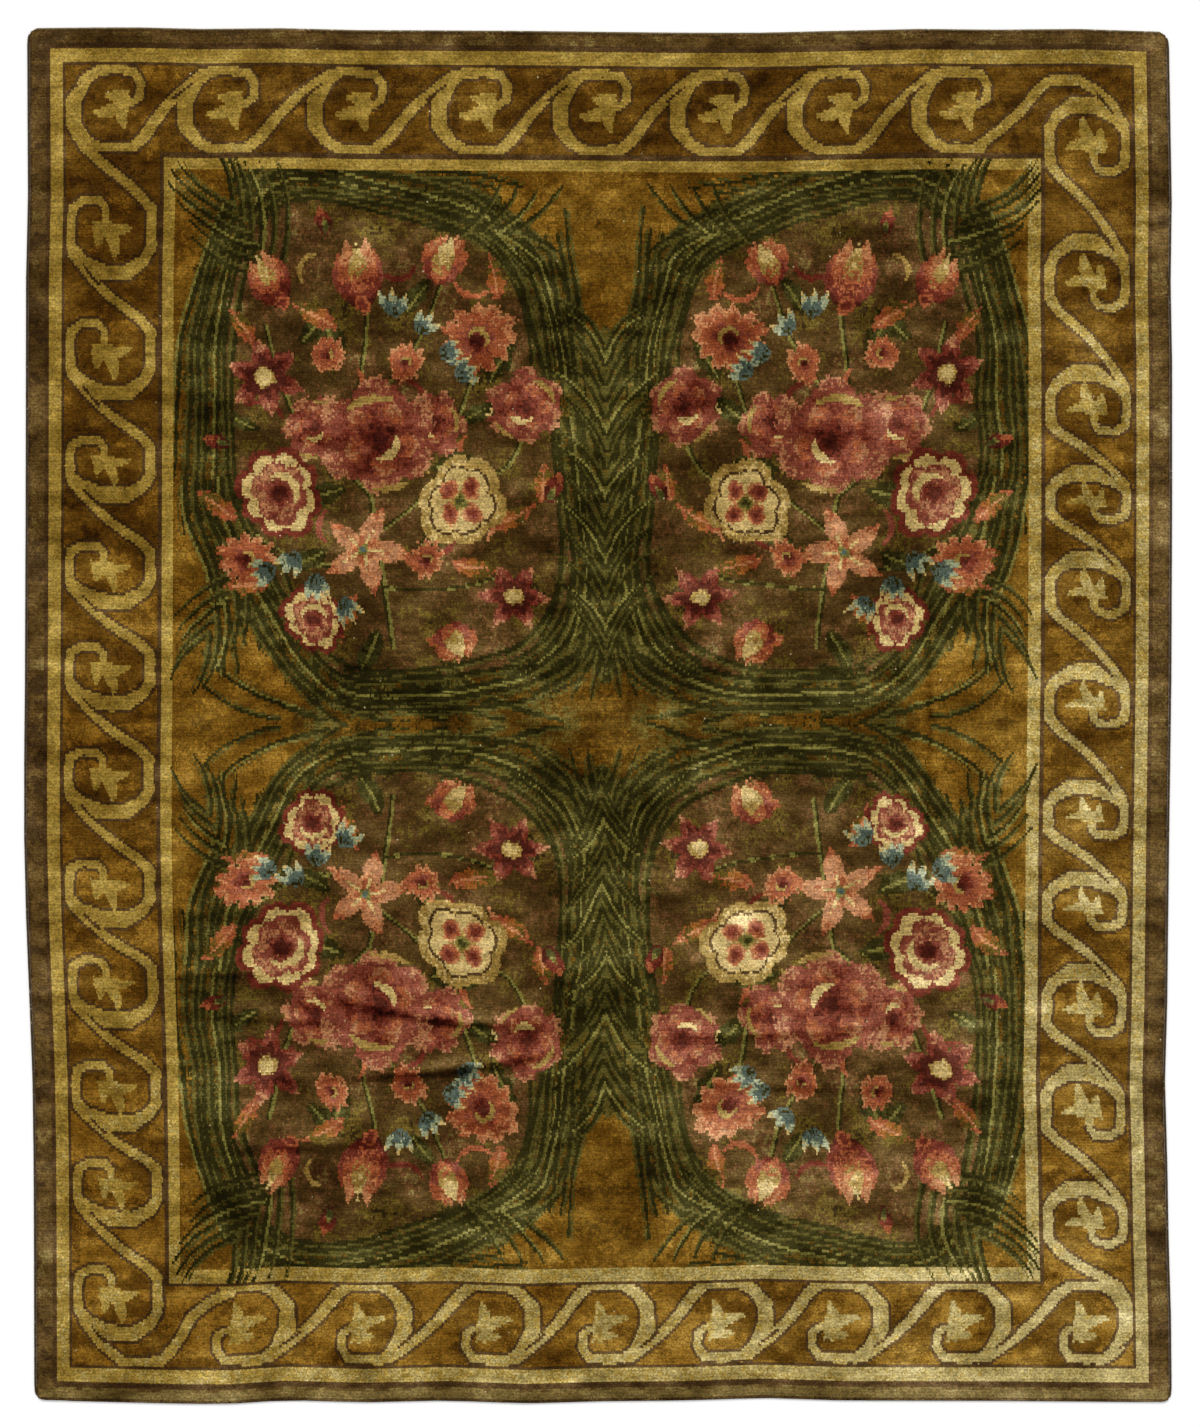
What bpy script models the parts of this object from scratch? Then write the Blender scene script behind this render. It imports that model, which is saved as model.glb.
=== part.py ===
"""A handwoven rug, lying flat: knotted pile on a woven foundation, with an overcast cord along each side.

Metres, +Z up. The origin is on the floor under the rug's middle, +Y is its top end and +X its right side.
"""

import math
from collections import namedtuple

import bpy
import numpy as np

# Driving sizes
WIDTH = 3.05  # over the two side cords
LENGTH = 3.66
THICKNESS = 0.0115  # foundation and pile together
LIP = 0.005  # height of the foundation at the rim, where the pile ends
CORD = 0.0062  # the side cord, across its flats
GAP = 0.0003  # between the cord and the foundation
CORNER = 0.022  # radius of the rug's corners
LIP_WIDTH = 0.004
PILE_RISE = 0.016  # the pile reaches its full height this far inside the lip
HALF_WIDTH = WIDTH / 2 - CORD - GAP  # of the cloth, without its cords
HALF_LENGTH = LENGTH / 2

# The grid that the cloth is modelled on
RIM_STEPS = np.array((0.0, 0.006, 0.014, 0.026))  # from the rim inwards, where the pile rises
COLUMNS = 31  # between the last rim steps: an odd number puts a cell over the middle, not a line
PLAIN_ROWS = 16  # in the flat upper half
RIPPLED_ROWS = 31  # in the rippled lower half
CORD_SIDES = 8

# How far the real outline lies outside the even rectangle, read along each side
Wander = namedtuple("Wander", "along outward")
LEFT_SIDE = (
    Wander(-1.83, -0.021),
    Wander(-1.40, -0.020),
    Wander(-1.18, -0.019),
    Wander(-0.97, -0.016),
    Wander(-0.76, -0.008),
    Wander(-0.54, 0.001),
    Wander(-0.33, 0.006),
    Wander(-0.12, 0.006),
    Wander(0.10, 0.004),
    Wander(0.60, 0.002),
    Wander(1.16, 0.001),
    Wander(1.38, -0.004),
    Wander(1.83, -0.002),
)
RIGHT_SIDE = (
    Wander(-1.83, 0.005),
    Wander(-1.60, 0.003),
    Wander(-1.40, -0.003),
    Wander(-1.18, -0.007),
    Wander(-0.97, -0.013),
    Wander(-0.76, -0.007),
    Wander(-0.33, -0.002),
    Wander(-0.12, 0.001),
    Wander(0.10, 0.004),
    Wander(0.55, 0.006),
    Wander(0.95, 0.006),
    Wander(1.16, 0.002),
    Wander(1.38, 0.005),
    Wander(1.83, -0.003),
)
TOP_END = (
    Wander(-1.52, 0.005),
    Wander(-1.33, 0.007),
    Wander(-1.22, 0.007),
    Wander(-1.06, 0.003),
    Wander(-0.85, 0.005),
    Wander(-0.64, 0.000),
    Wander(-0.21, -0.002),
    Wander(0.22, -0.007),
    Wander(0.43, -0.007),
    Wander(0.64, -0.002),
    Wander(0.86, 0.003),
    Wander(1.07, 0.001),
    Wander(1.28, 0.003),
    Wander(1.52, -0.005),
)
BOTTOM_END = (
    Wander(-1.52, -0.003),
    Wander(-1.28, 0.003),
    Wander(-1.11, 0.007),
    Wander(-1.00, 0.007),
    Wander(-0.85, -0.003),
    Wander(-0.64, 0.003),
    Wander(-0.42, -0.002),
    Wander(-0.21, 0.006),
    Wander(0.00, 0.000),
    Wander(0.22, -0.002),
    Wander(0.43, -0.009),
    Wander(0.64, -0.002),
    Wander(1.07, -0.001),
    Wander(1.52, 0.003),
)

# Low ripples where the cloth lifts off the floor: the middle of each crest, how far it runs to either side,
# half its width, how it is turned, how far its middle sags below its ends, and its height
Ripple = namedtuple("Ripple", "x y reach half_width turned sag height")
RIPPLES = (
    Ripple(-0.43, -0.78, 0.36, 0.060, -8, 0.030, 0.0060),
    Ripple(-0.42, -0.92, 0.38, 0.065, 6, 0.028, 0.0060),
    Ripple(-0.96, -0.69, 0.25, 0.060, 2, 0.000, 0.0035),
    Ripple(-0.92, -0.80, 0.28, 0.055, -3, 0.010, 0.0035),
    Ripple(0.42, -0.84, 0.42, 0.070, 3, 0.012, 0.0035),
    Ripple(0.50, -0.99, 0.36, 0.065, -2, 0.000, 0.0030),
    Ripple(-0.62, -1.13, 0.34, 0.070, 4, 0.010, 0.0030),
    Ripple(0.87, -0.04, 0.48, 0.060, 90, 0.008, 0.0025),
    Ripple(0.90, -1.20, 0.30, 0.070, 12, 0.000, 0.0025),
)

# Colours and finish: base colour, roughness
PILE_BROWN = ((0.115, 0.075, 0.030), 0.9)
CORD_BROWN = ((0.055, 0.040, 0.022), 0.85)


def material(name, finish):
    """A plain cloth material."""
    colour, roughness = finish
    made = bpy.data.materials.new(name)
    made.use_nodes = True
    shader = made.node_tree.nodes["Principled BSDF"]
    shader.inputs["Base Color"].default_value = (*colour, 1.0)
    shader.inputs["Roughness"].default_value = roughness
    shader.inputs["Metallic"].default_value = 0.0
    return made


def wander(side, along):
    """The side's distance outside the even rectangle, in straight runs between the table's rows."""
    return np.interp(along, [row.along for row in side], [row.outward for row in side])


def round_corners(x, y):
    """Turns the square corners into quarter circles: in each corner's square, a point is mapped into a disc."""
    across = np.clip((abs(x) - HALF_WIDTH + CORNER) / CORNER, 0, 1)
    along = np.clip((abs(y) - HALF_LENGTH + CORNER) / CORNER, 0, 1)
    inward_x = CORNER * across * (1 - np.sqrt(1 - along**2 / 2))
    inward_y = CORNER * along * (1 - np.sqrt(1 - across**2 / 2))
    return x - np.sign(x) * inward_x, y - np.sign(y) * inward_y


def place(x, y):
    """Moves a point of the even rectangle to its place in the real, uneven one: a side moves the points
    near it most, and those at the far side not at all."""
    x, y = round_corners(x, y)
    right = x / HALF_WIDTH / 2 + 0.5
    up = y / HALF_LENGTH / 2 + 0.5
    placed_x = x + right * wander(RIGHT_SIDE, y) - (1 - right) * wander(LEFT_SIDE, y)
    placed_y = y + up * wander(TOP_END, x) - (1 - up) * wander(BOTTOM_END, x)
    return placed_x, placed_y


def lift(x, y):
    """How far the cloth lies off the floor: each ripple is a cosine crest that fades to nothing at its ends."""
    total = np.zeros(x.shape)
    for ripple in RIPPLES:
        turned = math.radians(ripple.turned)
        along = (x - ripple.x) * math.cos(turned) + (y - ripple.y) * math.sin(turned)
        across = (y - ripple.y) * math.cos(turned) - (x - ripple.x) * math.sin(turned)
        along = np.clip(along / ripple.reach, -1, 1)
        across = np.clip((across + ripple.sag * (1 - along**2)) / ripple.half_width, -1, 1)
        total += ripple.height * np.cos(along * math.pi / 2) ** 2 * np.cos(across * math.pi / 2) ** 2
    return total


def pile_height(x, y):
    """The cloth's thickness: a bare lip at the rim, then the pile rises in a quarter wave."""
    inside = np.minimum(HALF_WIDTH - abs(x), HALF_LENGTH - abs(y)) - LIP_WIDTH
    return LIP + (THICKNESS - LIP) * np.sin(np.clip(inside / PILE_RISE, 0, 1) * math.pi / 2)


def with_rim_steps(half, inner):
    """Grid lines from -half to half: the rim steps at both ends, and inner, given from -1 to 1, between them."""
    steps = half - RIM_STEPS
    return np.concatenate([-steps[:-1], inner * steps[-1], steps[:-1][::-1]])


def add_mesh(name, points, faces, finish):
    """A mesh object at the origin, with its own material."""
    mesh = bpy.data.meshes.new(name)
    mesh.from_pydata(points.tolist(), [], faces)
    mesh.materials.append(finish)
    mesh.shade_smooth()
    mesh.set_sharp_from_angle(angle=math.radians(40))
    bpy.context.scene.collection.objects.link(bpy.data.objects.new(name, mesh))


def cloth(name, columns, rows, finish):
    """The cloth, ends and all: its upper and lower face on one grid, joined round the rim by an upright lip."""
    x, y = np.meshgrid(columns, rows)
    placed_x, placed_y = place(x, y)
    under = lift(placed_x, placed_y)
    lower = np.stack([placed_x, placed_y, under], -1).reshape(-1, 3)
    upper = np.stack([placed_x, placed_y, under + pile_height(x, y)], -1).reshape(-1, 3)

    index = np.arange(x.size).reshape(x.shape)
    cells = np.stack([index[:-1, :-1], index[:-1, 1:], index[1:, 1:], index[1:, :-1]], -1).reshape(-1, 4)
    rim = np.concatenate([index[0, :-1], index[:-1, -1], index[-1, :0:-1], index[:0:-1, 0]])
    following = np.roll(rim, -1)
    lip = np.stack([rim, following, following + x.size, rim + x.size], -1)
    faces = np.concatenate([cells + x.size, cells[:, ::-1], lip])
    add_mesh(name, np.concatenate([lower, upper]), faces.tolist(), finish)


def side_cord(name, side, rows, finish):
    """The overcast cord along one side, -1 left or 1 right: an eight-sided tube with a flat under it and a
    flat towards the cloth."""
    rows = rows[1:-1]
    edge_x, edge_y = place(np.full(rows.shape, side * HALF_WIDTH), rows)
    centre = np.stack([edge_x + side * (GAP + CORD / 2), edge_y, lift(edge_x, edge_y) + CORD / 2], -1)

    radius = CORD / 2 / math.cos(math.pi / CORD_SIDES)
    turn = (np.arange(CORD_SIDES) + 0.5) * 2 * math.pi / CORD_SIDES
    ring = np.stack([radius * np.cos(turn), 0 * turn, radius * np.sin(turn)], -1)
    points = (centre[:, None, :] + ring[None, :, :]).reshape(-1, 3)

    index = np.arange(len(points)).reshape(-1, CORD_SIDES)
    following = np.roll(index, -1, axis=1)
    walls = np.stack([index[:-1], index[1:], following[1:], following[:-1]], -1).reshape(-1, 4)
    faces = [*walls.tolist(), index[0].tolist(), index[-1, ::-1].tolist()]
    add_mesh(name, points, faces, finish)


def main():
    for old in list(bpy.data.objects):
        bpy.data.objects.remove(old)

    columns = with_rim_steps(HALF_WIDTH, np.linspace(-1, 1, COLUMNS + 1))
    rippled = np.linspace(-1, 0, RIPPLED_ROWS + 1)
    plain = np.linspace(0, 1, PLAIN_ROWS + 1)
    rows = with_rim_steps(HALF_LENGTH, np.concatenate([rippled, plain[1:]]))

    cloth("rug_body", columns, rows, material("knotted_pile", PILE_BROWN))
    overcast = material("overcast_cord", CORD_BROWN)
    side_cord("selvedge_left", -1, rows, overcast)
    side_cord("selvedge_right", 1, rows, overcast)


main()
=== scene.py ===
# %% [markdown]
# A hand-knotted wool rug, lying flat.
# The solids from part.py give its outline, its thickness and its low ripples. This script dresses them:
# wool pile with its drawing, the woven foundation under it, the overcast side cords and the stitched ends.
# Everything is in metres, +Z up, with +Y towards the rug's top end.

# %% Frame
import math
from collections import namedtuple

import bpy
import numpy as np
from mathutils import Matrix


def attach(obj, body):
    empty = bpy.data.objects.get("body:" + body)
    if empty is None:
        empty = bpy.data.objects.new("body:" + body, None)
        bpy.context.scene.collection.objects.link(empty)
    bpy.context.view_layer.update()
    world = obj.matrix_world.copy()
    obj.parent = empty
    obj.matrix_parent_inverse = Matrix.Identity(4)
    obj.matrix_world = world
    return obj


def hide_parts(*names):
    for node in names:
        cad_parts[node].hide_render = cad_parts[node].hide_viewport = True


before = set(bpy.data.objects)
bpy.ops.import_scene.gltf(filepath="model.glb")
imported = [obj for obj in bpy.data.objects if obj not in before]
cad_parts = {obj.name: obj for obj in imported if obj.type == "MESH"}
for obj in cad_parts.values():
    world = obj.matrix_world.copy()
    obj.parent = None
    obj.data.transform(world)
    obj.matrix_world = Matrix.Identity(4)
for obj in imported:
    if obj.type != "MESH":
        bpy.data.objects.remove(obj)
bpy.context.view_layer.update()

print("solids:", ", ".join(sorted(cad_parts)))

# %% [markdown]
# The cloth's shape.
# A hand-knotted rug is never quite straight, because the warps pull in and relax as the weaver works. The
# outline could be drawn as a free curve, but a rectangle with a small wander along each side is easier to
# keep the same as in part.py. A point of the even rectangle is moved by its nearest sides, so the drawing
# bends with the edge.

# %% Sizes of the cloth
WIDTH, LENGTH = 3.05, 3.66  # over the side cords, and over the ends
THICKNESS = 0.0115  # foundation and pile together
CORD = 0.0062
GAP = 0.0003
HALF_WIDTH = WIDTH / 2 - CORD - GAP  # of the cloth, without its cords
HALF_LENGTH = LENGTH / 2
CORNER = 0.022

Wander = namedtuple("Wander", "along outward")
LEFT_SIDE = (
    Wander(-1.83, -0.021), Wander(-1.40, -0.020), Wander(-1.18, -0.019), Wander(-0.97, -0.016),
    Wander(-0.76, -0.008), Wander(-0.54, 0.001), Wander(-0.33, 0.006), Wander(-0.12, 0.006),
    Wander(0.10, 0.004), Wander(0.60, 0.002), Wander(1.16, 0.001), Wander(1.38, -0.004), Wander(1.83, -0.002),
)
RIGHT_SIDE = (
    Wander(-1.83, 0.005), Wander(-1.60, 0.003), Wander(-1.40, -0.003), Wander(-1.18, -0.007),
    Wander(-0.97, -0.013), Wander(-0.76, -0.007), Wander(-0.33, -0.002), Wander(-0.12, 0.001),
    Wander(0.10, 0.004), Wander(0.55, 0.006), Wander(0.95, 0.006), Wander(1.16, 0.002),
    Wander(1.38, 0.005), Wander(1.83, -0.003),
)
TOP_END = (
    Wander(-1.52, 0.005), Wander(-1.33, 0.007), Wander(-1.22, 0.007), Wander(-1.06, 0.003),
    Wander(-0.85, 0.005), Wander(-0.64, 0.000), Wander(-0.21, -0.002), Wander(0.22, -0.007),
    Wander(0.43, -0.007), Wander(0.64, -0.002), Wander(0.86, 0.003), Wander(1.07, 0.001),
    Wander(1.28, 0.003), Wander(1.52, -0.005),
)
BOTTOM_END = (
    Wander(-1.52, -0.003), Wander(-1.28, 0.003), Wander(-1.11, 0.007), Wander(-1.00, 0.007),
    Wander(-0.85, -0.003), Wander(-0.64, 0.003), Wander(-0.42, -0.002), Wander(-0.21, 0.006),
    Wander(0.00, 0.000), Wander(0.22, -0.002), Wander(0.43, -0.009), Wander(0.64, -0.002),
    Wander(1.07, -0.001), Wander(1.52, 0.003),
)

# %% Place a point of the even rectangle
def wander(side, along):
    """The side's distance outside the even rectangle, in straight runs between the table's rows."""
    return np.interp(along, [row.along for row in side], [row.outward for row in side])


def round_corners(x, y):
    """Turns the square corners into quarter circles: in each corner's square, a point goes into a disc."""
    across = np.clip((abs(x) - HALF_WIDTH + CORNER) / CORNER, 0, 1)
    along = np.clip((abs(y) - HALF_LENGTH + CORNER) / CORNER, 0, 1)
    inward_x = CORNER * across * (1 - np.sqrt(1 - along**2 / 2))
    inward_y = CORNER * along * (1 - np.sqrt(1 - across**2 / 2))
    return x - np.sign(x) * inward_x, y - np.sign(y) * inward_y


def place(x, y):
    """Each side moves a point by its wander there, times the point's share of the way to that side."""
    x, y = round_corners(x, y)
    right = x / HALF_WIDTH / 2 + 0.5
    up = y / HALF_LENGTH / 2 + 0.5
    placed_x = x + right * wander(RIGHT_SIDE, y) - (1 - right) * wander(LEFT_SIDE, y)
    placed_y = y + up * wander(TOP_END, x) - (1 - up) * wander(BOTTOM_END, x)
    return placed_x, placed_y

# %% Ripples
# The middle of each crest, how far it runs to either side, half its width, how it is turned in degrees, how
# far its middle sags below its ends, and its height
Ripple = namedtuple("Ripple", "x y reach half_width turned sag height")
RIPPLES = (
    Ripple(-0.43, -0.78, 0.36, 0.060, -8, 0.030, 0.0060),
    Ripple(-0.42, -0.92, 0.38, 0.065, 6, 0.028, 0.0060),
    Ripple(-0.96, -0.69, 0.25, 0.060, 2, 0.000, 0.0035),
    Ripple(-0.92, -0.80, 0.28, 0.055, -3, 0.010, 0.0035),
    Ripple(0.42, -0.84, 0.42, 0.070, 3, 0.012, 0.0035),
    Ripple(0.50, -0.99, 0.36, 0.065, -2, 0.000, 0.0030),
    Ripple(-0.62, -1.13, 0.34, 0.070, 4, 0.010, 0.0030),
    Ripple(0.87, -0.04, 0.48, 0.060, 90, 0.008, 0.0025),
    Ripple(0.90, -1.20, 0.30, 0.070, 12, 0.000, 0.0025),
)
HIGHEST = 0.006  # height of the highest ripple


def on_ripple(ripple, x, y):
    """The way along a ripple, from -1 to 1, and the distance across from its sagging crest, in metres."""
    turned = math.radians(ripple.turned)
    along = (x - ripple.x) * math.cos(turned) + (y - ripple.y) * math.sin(turned)
    across = (y - ripple.y) * math.cos(turned) - (x - ripple.x) * math.sin(turned)
    along = np.clip(along / ripple.reach, -1, 1)
    return along, across + ripple.sag * (1 - along**2)


def lift(x, y):
    """Height off the floor: each ripple is a squared cosine across, times a squared cosine along."""
    total = np.zeros(x.shape)
    for ripple in RIPPLES:
        along, across = on_ripple(ripple, x, y)
        across = np.clip(across / ripple.half_width, -1, 1)
        total += ripple.height * np.cos(along * math.pi / 2) ** 2 * np.cos(across * math.pi / 2) ** 2
    return total


def painted_crease_shade_and_highlight(x, y):
    """Painted shade and highlight at the crests, where the nap leans: a dark line along each, and a pale band
    just above. Both are bell curves across the crest, as strong as the ripple is high."""
    total = np.zeros(x.shape)
    for ripple in RIPPLES:
        along, across = on_ripple(ripple, x, y)
        strength = np.cos(along * math.pi / 2) * ripple.height / HIGHEST
        pale = 0.28 * np.exp(-((across - 0.022) / 0.020) ** 2)
        dark = 0.75 * np.exp(-((across + 0.004) / 0.009) ** 2)
        total += strength * (pale - dark)
    return total


sample = np.meshgrid(np.linspace(-1.5, 1.5, 300), np.linspace(-1.8, 1, 300))
print("the cloth rises", round(float(lift(*sample).max()) * 1000, 1), "mm at its highest ripple")

# %% [markdown]
# The dyed wools.
# The drawing has about thirty wools, all warm and muted: old golds, browns, olive greens, corals, crimsons
# and a little blue. Each has a name and a colour, and the chart below stores a wool's place in this row.

# %% Wools
def linear(colour):
    """From screen levels to light: ((level / 255 + 0.055) / 1.055) ** 2.4, or level / 3295 where dark."""
    return [((level / 255 + 0.055) / 1.055) ** 2.4 if level > 10 else level / 3295 for level in colour]


Wool = namedtuple("Wool", "name colour")
WOOLS = (
    Wool("guard", (75, 54, 22)),
    Wool("guard dark", (58, 40, 17)),
    Wool("outline", (62, 42, 19)),
    Wool("gold", (134, 107, 41)),
    Wool("gold light", (148, 129, 72)),
    Wool("scroll ground", (81, 52, 8)),
    Wool("scroll ground dark", (60, 36, 5)),
    Wool("amber", (86, 56, 8)),
    Wool("amber dark", (66, 42, 5)),
    Wool("panel", (62, 42, 14)),
    Wool("panel dark", (42, 29, 9)),
    Wool("panel light", (96, 77, 36)),
    Wool("frond dark", (34, 30, 6)),
    Wool("frond", (64, 57, 18)),
    Wool("frond light", (94, 86, 34)),
    Wool("coral", (130, 64, 34)),
    Wool("coral light", (156, 98, 58)),
    Wool("pink", (108, 50, 33)),
    Wool("pink light", (142, 90, 56)),
    Wool("crimson", (86, 31, 18)),
    Wool("burgundy", (57, 19, 10)),
    Wool("cream", (170, 142, 82)),
    Wool("cream dark", (132, 103, 46)),
    Wool("blue", (62, 72, 60)),
    Wool("blue light", (126, 130, 96)),
    Wool("leaf", (54, 50, 17)),
    Wool("leaf dark", (36, 31, 6)),
    Wool("orange", (126, 70, 26)),
    Wool("amber light", (108, 73, 16)),
    Wool("moss", (76, 59, 16)),
    Wool("plum", (80, 51, 23)),
    Wool("speck", (150, 136, 100)),
)
CODE = {wool.name: place_in_row for place_in_row, wool in enumerate(WOOLS)}
CLEAR = -1  # where a drawing leaves what lies under it
print(len(WOOLS), "wools")

# %% [markdown]
# The knot chart.
# A weaver follows a chart in which each square is one knot. The chart here is worked out by formula: every
# motif is a stroke, a rosette or a petal, and a knot takes the motif's wool where it lies inside. The rug
# has 816 by 984 knots of 3.7 mm, about as fine as can be seen in it.

# %% Chart sizes
KNOTS_ACROSS, KNOTS_UP = 816, 984
KNOT = LENGTH / KNOTS_UP
knot_x = (np.arange(KNOTS_ACROSS) + 0.5) / KNOTS_ACROSS * 2 * HALF_WIDTH - HALF_WIDTH
knot_y = (np.arange(KNOTS_UP) + 0.5) * KNOT - HALF_LENGTH
print("a knot is", round(2 * HALF_WIDTH / KNOTS_ACROSS * 1000, 2), "by", round(KNOT * 1000, 2), "mm")

# %% Smooth noise
def soft_noise(shape, cell, seed, stretch=1.0):
    """Noise from -1 to 1: random values a cell apart, blended between with 3t^2 - 2t^3."""
    rows, columns = shape
    size = (int(rows / cell) + 3, int(columns / cell / stretch) + 3)
    values = np.random.default_rng(seed).uniform(-1, 1, size)
    down, across = np.arange(rows) / cell, np.arange(columns) / cell / stretch
    row, column = down.astype(int), across.astype(int)
    down, across = down - row, across - column
    down, across = (down**2 * (3 - 2 * down))[:, None], across**2 * (3 - 2 * across)
    above = values[row][:, column] * (1 - across) + values[row][:, column + 1] * across
    below = values[row + 1][:, column] * (1 - across) + values[row + 1][:, column + 1] * across
    return above * (1 - down) + below * down

# %% A sheet to draw on
RAG_CELL = 5  # the drawing's edges waver over this many cells
EVERYWHERE = (slice(None), slice(None))  # the window that takes in the whole grid
FAR = 9.0  # farther than any knot is from a stroke


class Drawing:
    """Squares on a grid with a wool's code in each, and the noise that makes edges and shades uneven."""

    def __init__(self, across, up, seed, fill):
        self.across, self.up = across, up
        self.x, self.y = np.meshgrid(across, up)
        self.codes = np.full(self.x.shape, fill, dtype=np.int16)
        self.rag = soft_noise(self.x.shape, RAG_CELL, seed)
        self.dither = np.random.default_rng(seed + 1).uniform(-1, 1, self.x.shape)

    def window(self, points, reach):
        """The part of the grid that lies within reach of the points."""
        low, high = np.min(points, axis=0) - reach, np.max(points, axis=0) + reach
        columns = slice(*np.searchsorted(self.across, (low[0], high[0])))
        rows = slice(*np.searchsorted(self.up, (low[1], high[1])))
        return rows, columns


def depth_of(x, y, path):
    """Signed distance to a stroke, below nought inside: the distance to the nearest straight run of the
    path's rows (x, y, half width), less the half-width there."""
    depth = np.full(x.shape, FAR)
    for (x0, y0, w0), (x1, y1, w1) in zip(path[:-1], path[1:]):
        dx, dy = x1 - x0, y1 - y0
        part = np.clip(((x - x0) * dx + (y - y0) * dy) / (dx * dx + dy * dy + 1e-12), 0, 1)
        depth = np.minimum(depth, np.hypot(x - x0 - part * dx, y - y0 - part * dy) - w0 - (w1 - w0) * part)
    return depth


def cut_corners(path, times):
    """Rounds a path: each run gives way to its points at a quarter and at three quarters."""
    for _ in range(times):
        before, after = path[:-1], path[1:]
        cut = np.stack([0.75 * before + 0.25 * after, 0.25 * before + 0.75 * after], 1)
        path = np.concatenate([path[:1], cut.reshape(-1, 3)[1:-1], path[-1:]])
    return path


def stroke(drawing, path, wool, rag=0.0015, rounded=0):
    """Fills a stroke with one wool; rag is how far its edge wavers."""
    path = cut_corners(np.asarray(path, dtype=float), rounded)
    window = drawing.window(path[:, :2], path[:, 2].max() + rag)
    inside = depth_of(drawing.x[window], drawing.y[window], path) + rag * drawing.rag[window] < 0
    drawing.codes[window][inside] = CODE[wool]


def shade(drawing, window, inside, wools, position, spread=0.3):
    """Fills squares with neighbouring wools: position, from 0 to 1 plus noise, is the place in their row."""
    uneven = 0.7 * drawing.rag[window] + 0.3 * drawing.dither[window]
    step = np.clip((position + spread * uneven) * len(wools), 0, len(wools) - 0.01).astype(int)
    codes = np.array([CODE[wool] for wool in wools])[step]
    drawing.codes[window][inside] = codes[inside]

# %% [markdown]
# The border.
# A plain guard runs round the rug, then a gold fillet, a band of scrolls and an inner fillet. A scroll is
# one broad stroke: it starts in a hook that holds a leaf, goes over the outer side and down the back, and
# leaves along the inner side as a link to the next scroll. It could be drawn as a perfect repeat, but the
# weaver's scrolls are closer together in places, so each side has its own short row of middles and
# half-lengths.

# %% Bands
FILLET_OUT_X, FILLET_IN_X = 1.463, 1.430  # outer fillet, its outer and inner edge, left and right
FILLET_OUT_Y, FILLET_IN_Y = 1.780, 1.743
INNER_LEFT = (-1.162, -1.133)  # inner fillet, outer and inner edge of each side
INNER_RIGHT = (1.176, 1.141)
INNER_TOP = (1.489, 1.455)
INNER_BOTTOM = (-1.507, -1.472)
LINE = 0.010  # the dark line beside each fillet
OUTLINE = 0.0075  # the dark edge round each scroll
RIM_LINE = 0.005  # the dark knots along the rug's rim
PALE_FROM = 0.016  # the bottom guard is paler from this far below its fillet

# A turn's place is in half-lengths of the scroll and half-widths of the band, its own half-width in metres
Turn = namedtuple("Turn", "along outward half_width")
SCROLL = (
    Turn(0.70, 0.14, 0.0085),
    Turn(0.88, 0.28, 0.0105),
    Turn(0.91, 0.60, 0.0110),
    Turn(0.72, 0.86, 0.0115),
    Turn(0.30, 0.895, 0.0118),
    Turn(-0.18, 0.885, 0.0125),
    Turn(-0.50, 0.66, 0.0160),
    Turn(-0.80, 0.16, 0.0205),
    Turn(-0.80, -0.36, 0.0200),
    Turn(-0.50, -0.73, 0.0150),
    Turn(-0.18, -0.885, 0.0138),
    Turn(0.70, -0.885, 0.0138),
)
Link = namedtuple("Link", "part outward half_width")  # part of the way to the next scroll's back
LINK = (
    Link(0.14, -0.66, 0.0148),
    Link(0.27, -0.32, 0.0145),
    Link(0.40, 0.00, 0.0135),
    Link(0.57, 0.33, 0.0125),
    Link(0.76, 0.65, 0.0120),
    Link(0.90, 0.86, 0.0110),
    Link(1.00, 0.885, 0.0110),
)
Lobe = namedtuple("Lobe", "along outward half_width")  # in metres from the scroll's middle
LEAF = (
    (Lobe(0.044, 0.010, 0.020), Lobe(0.044, 0.030, 0.022)),
    (Lobe(0.040, 0.034, 0.014), Lobe(0.018, 0.034, 0.012), Lobe(0.006, 0.036, 0.007)),
    (Lobe(0.054, 0.038, 0.010), Lobe(0.066, 0.050, 0.003)),
    (Lobe(0.040, 0.010, 0.015), Lobe(0.012, -0.006, 0.017), Lobe(-0.014, -0.012, 0.011),
     Lobe(-0.028, -0.010, 0.005)),
    (Lobe(0.046, 0.004, 0.019), Lobe(0.043, -0.022, 0.015), Lobe(0.048, -0.040, 0.010),
     Lobe(0.052, -0.054, 0.004)),
)
SLIT = (  # between the link and the back that it joins
    Turn(-1.08, 0.26, 0.0045), Turn(-0.86, 0.44, 0.0036), Turn(-0.62, 0.60, 0.0026),
)
LEAF_NEEDS = 0.103  # a scroll with a shorter half-length than this has a smaller leaf
LEAF_ROOT = (0.016, 0.012)  # how far outward the leaf's stem ends, and its half-width there
STEM_START = 0.0085  # the stem's half-width at the hook
LINK_END = 0.18  # a link ends this far beyond the next scroll's middle, in half-lengths
CORNER_LINK = 0.0130  # half-width of the links that turn a corner

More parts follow.
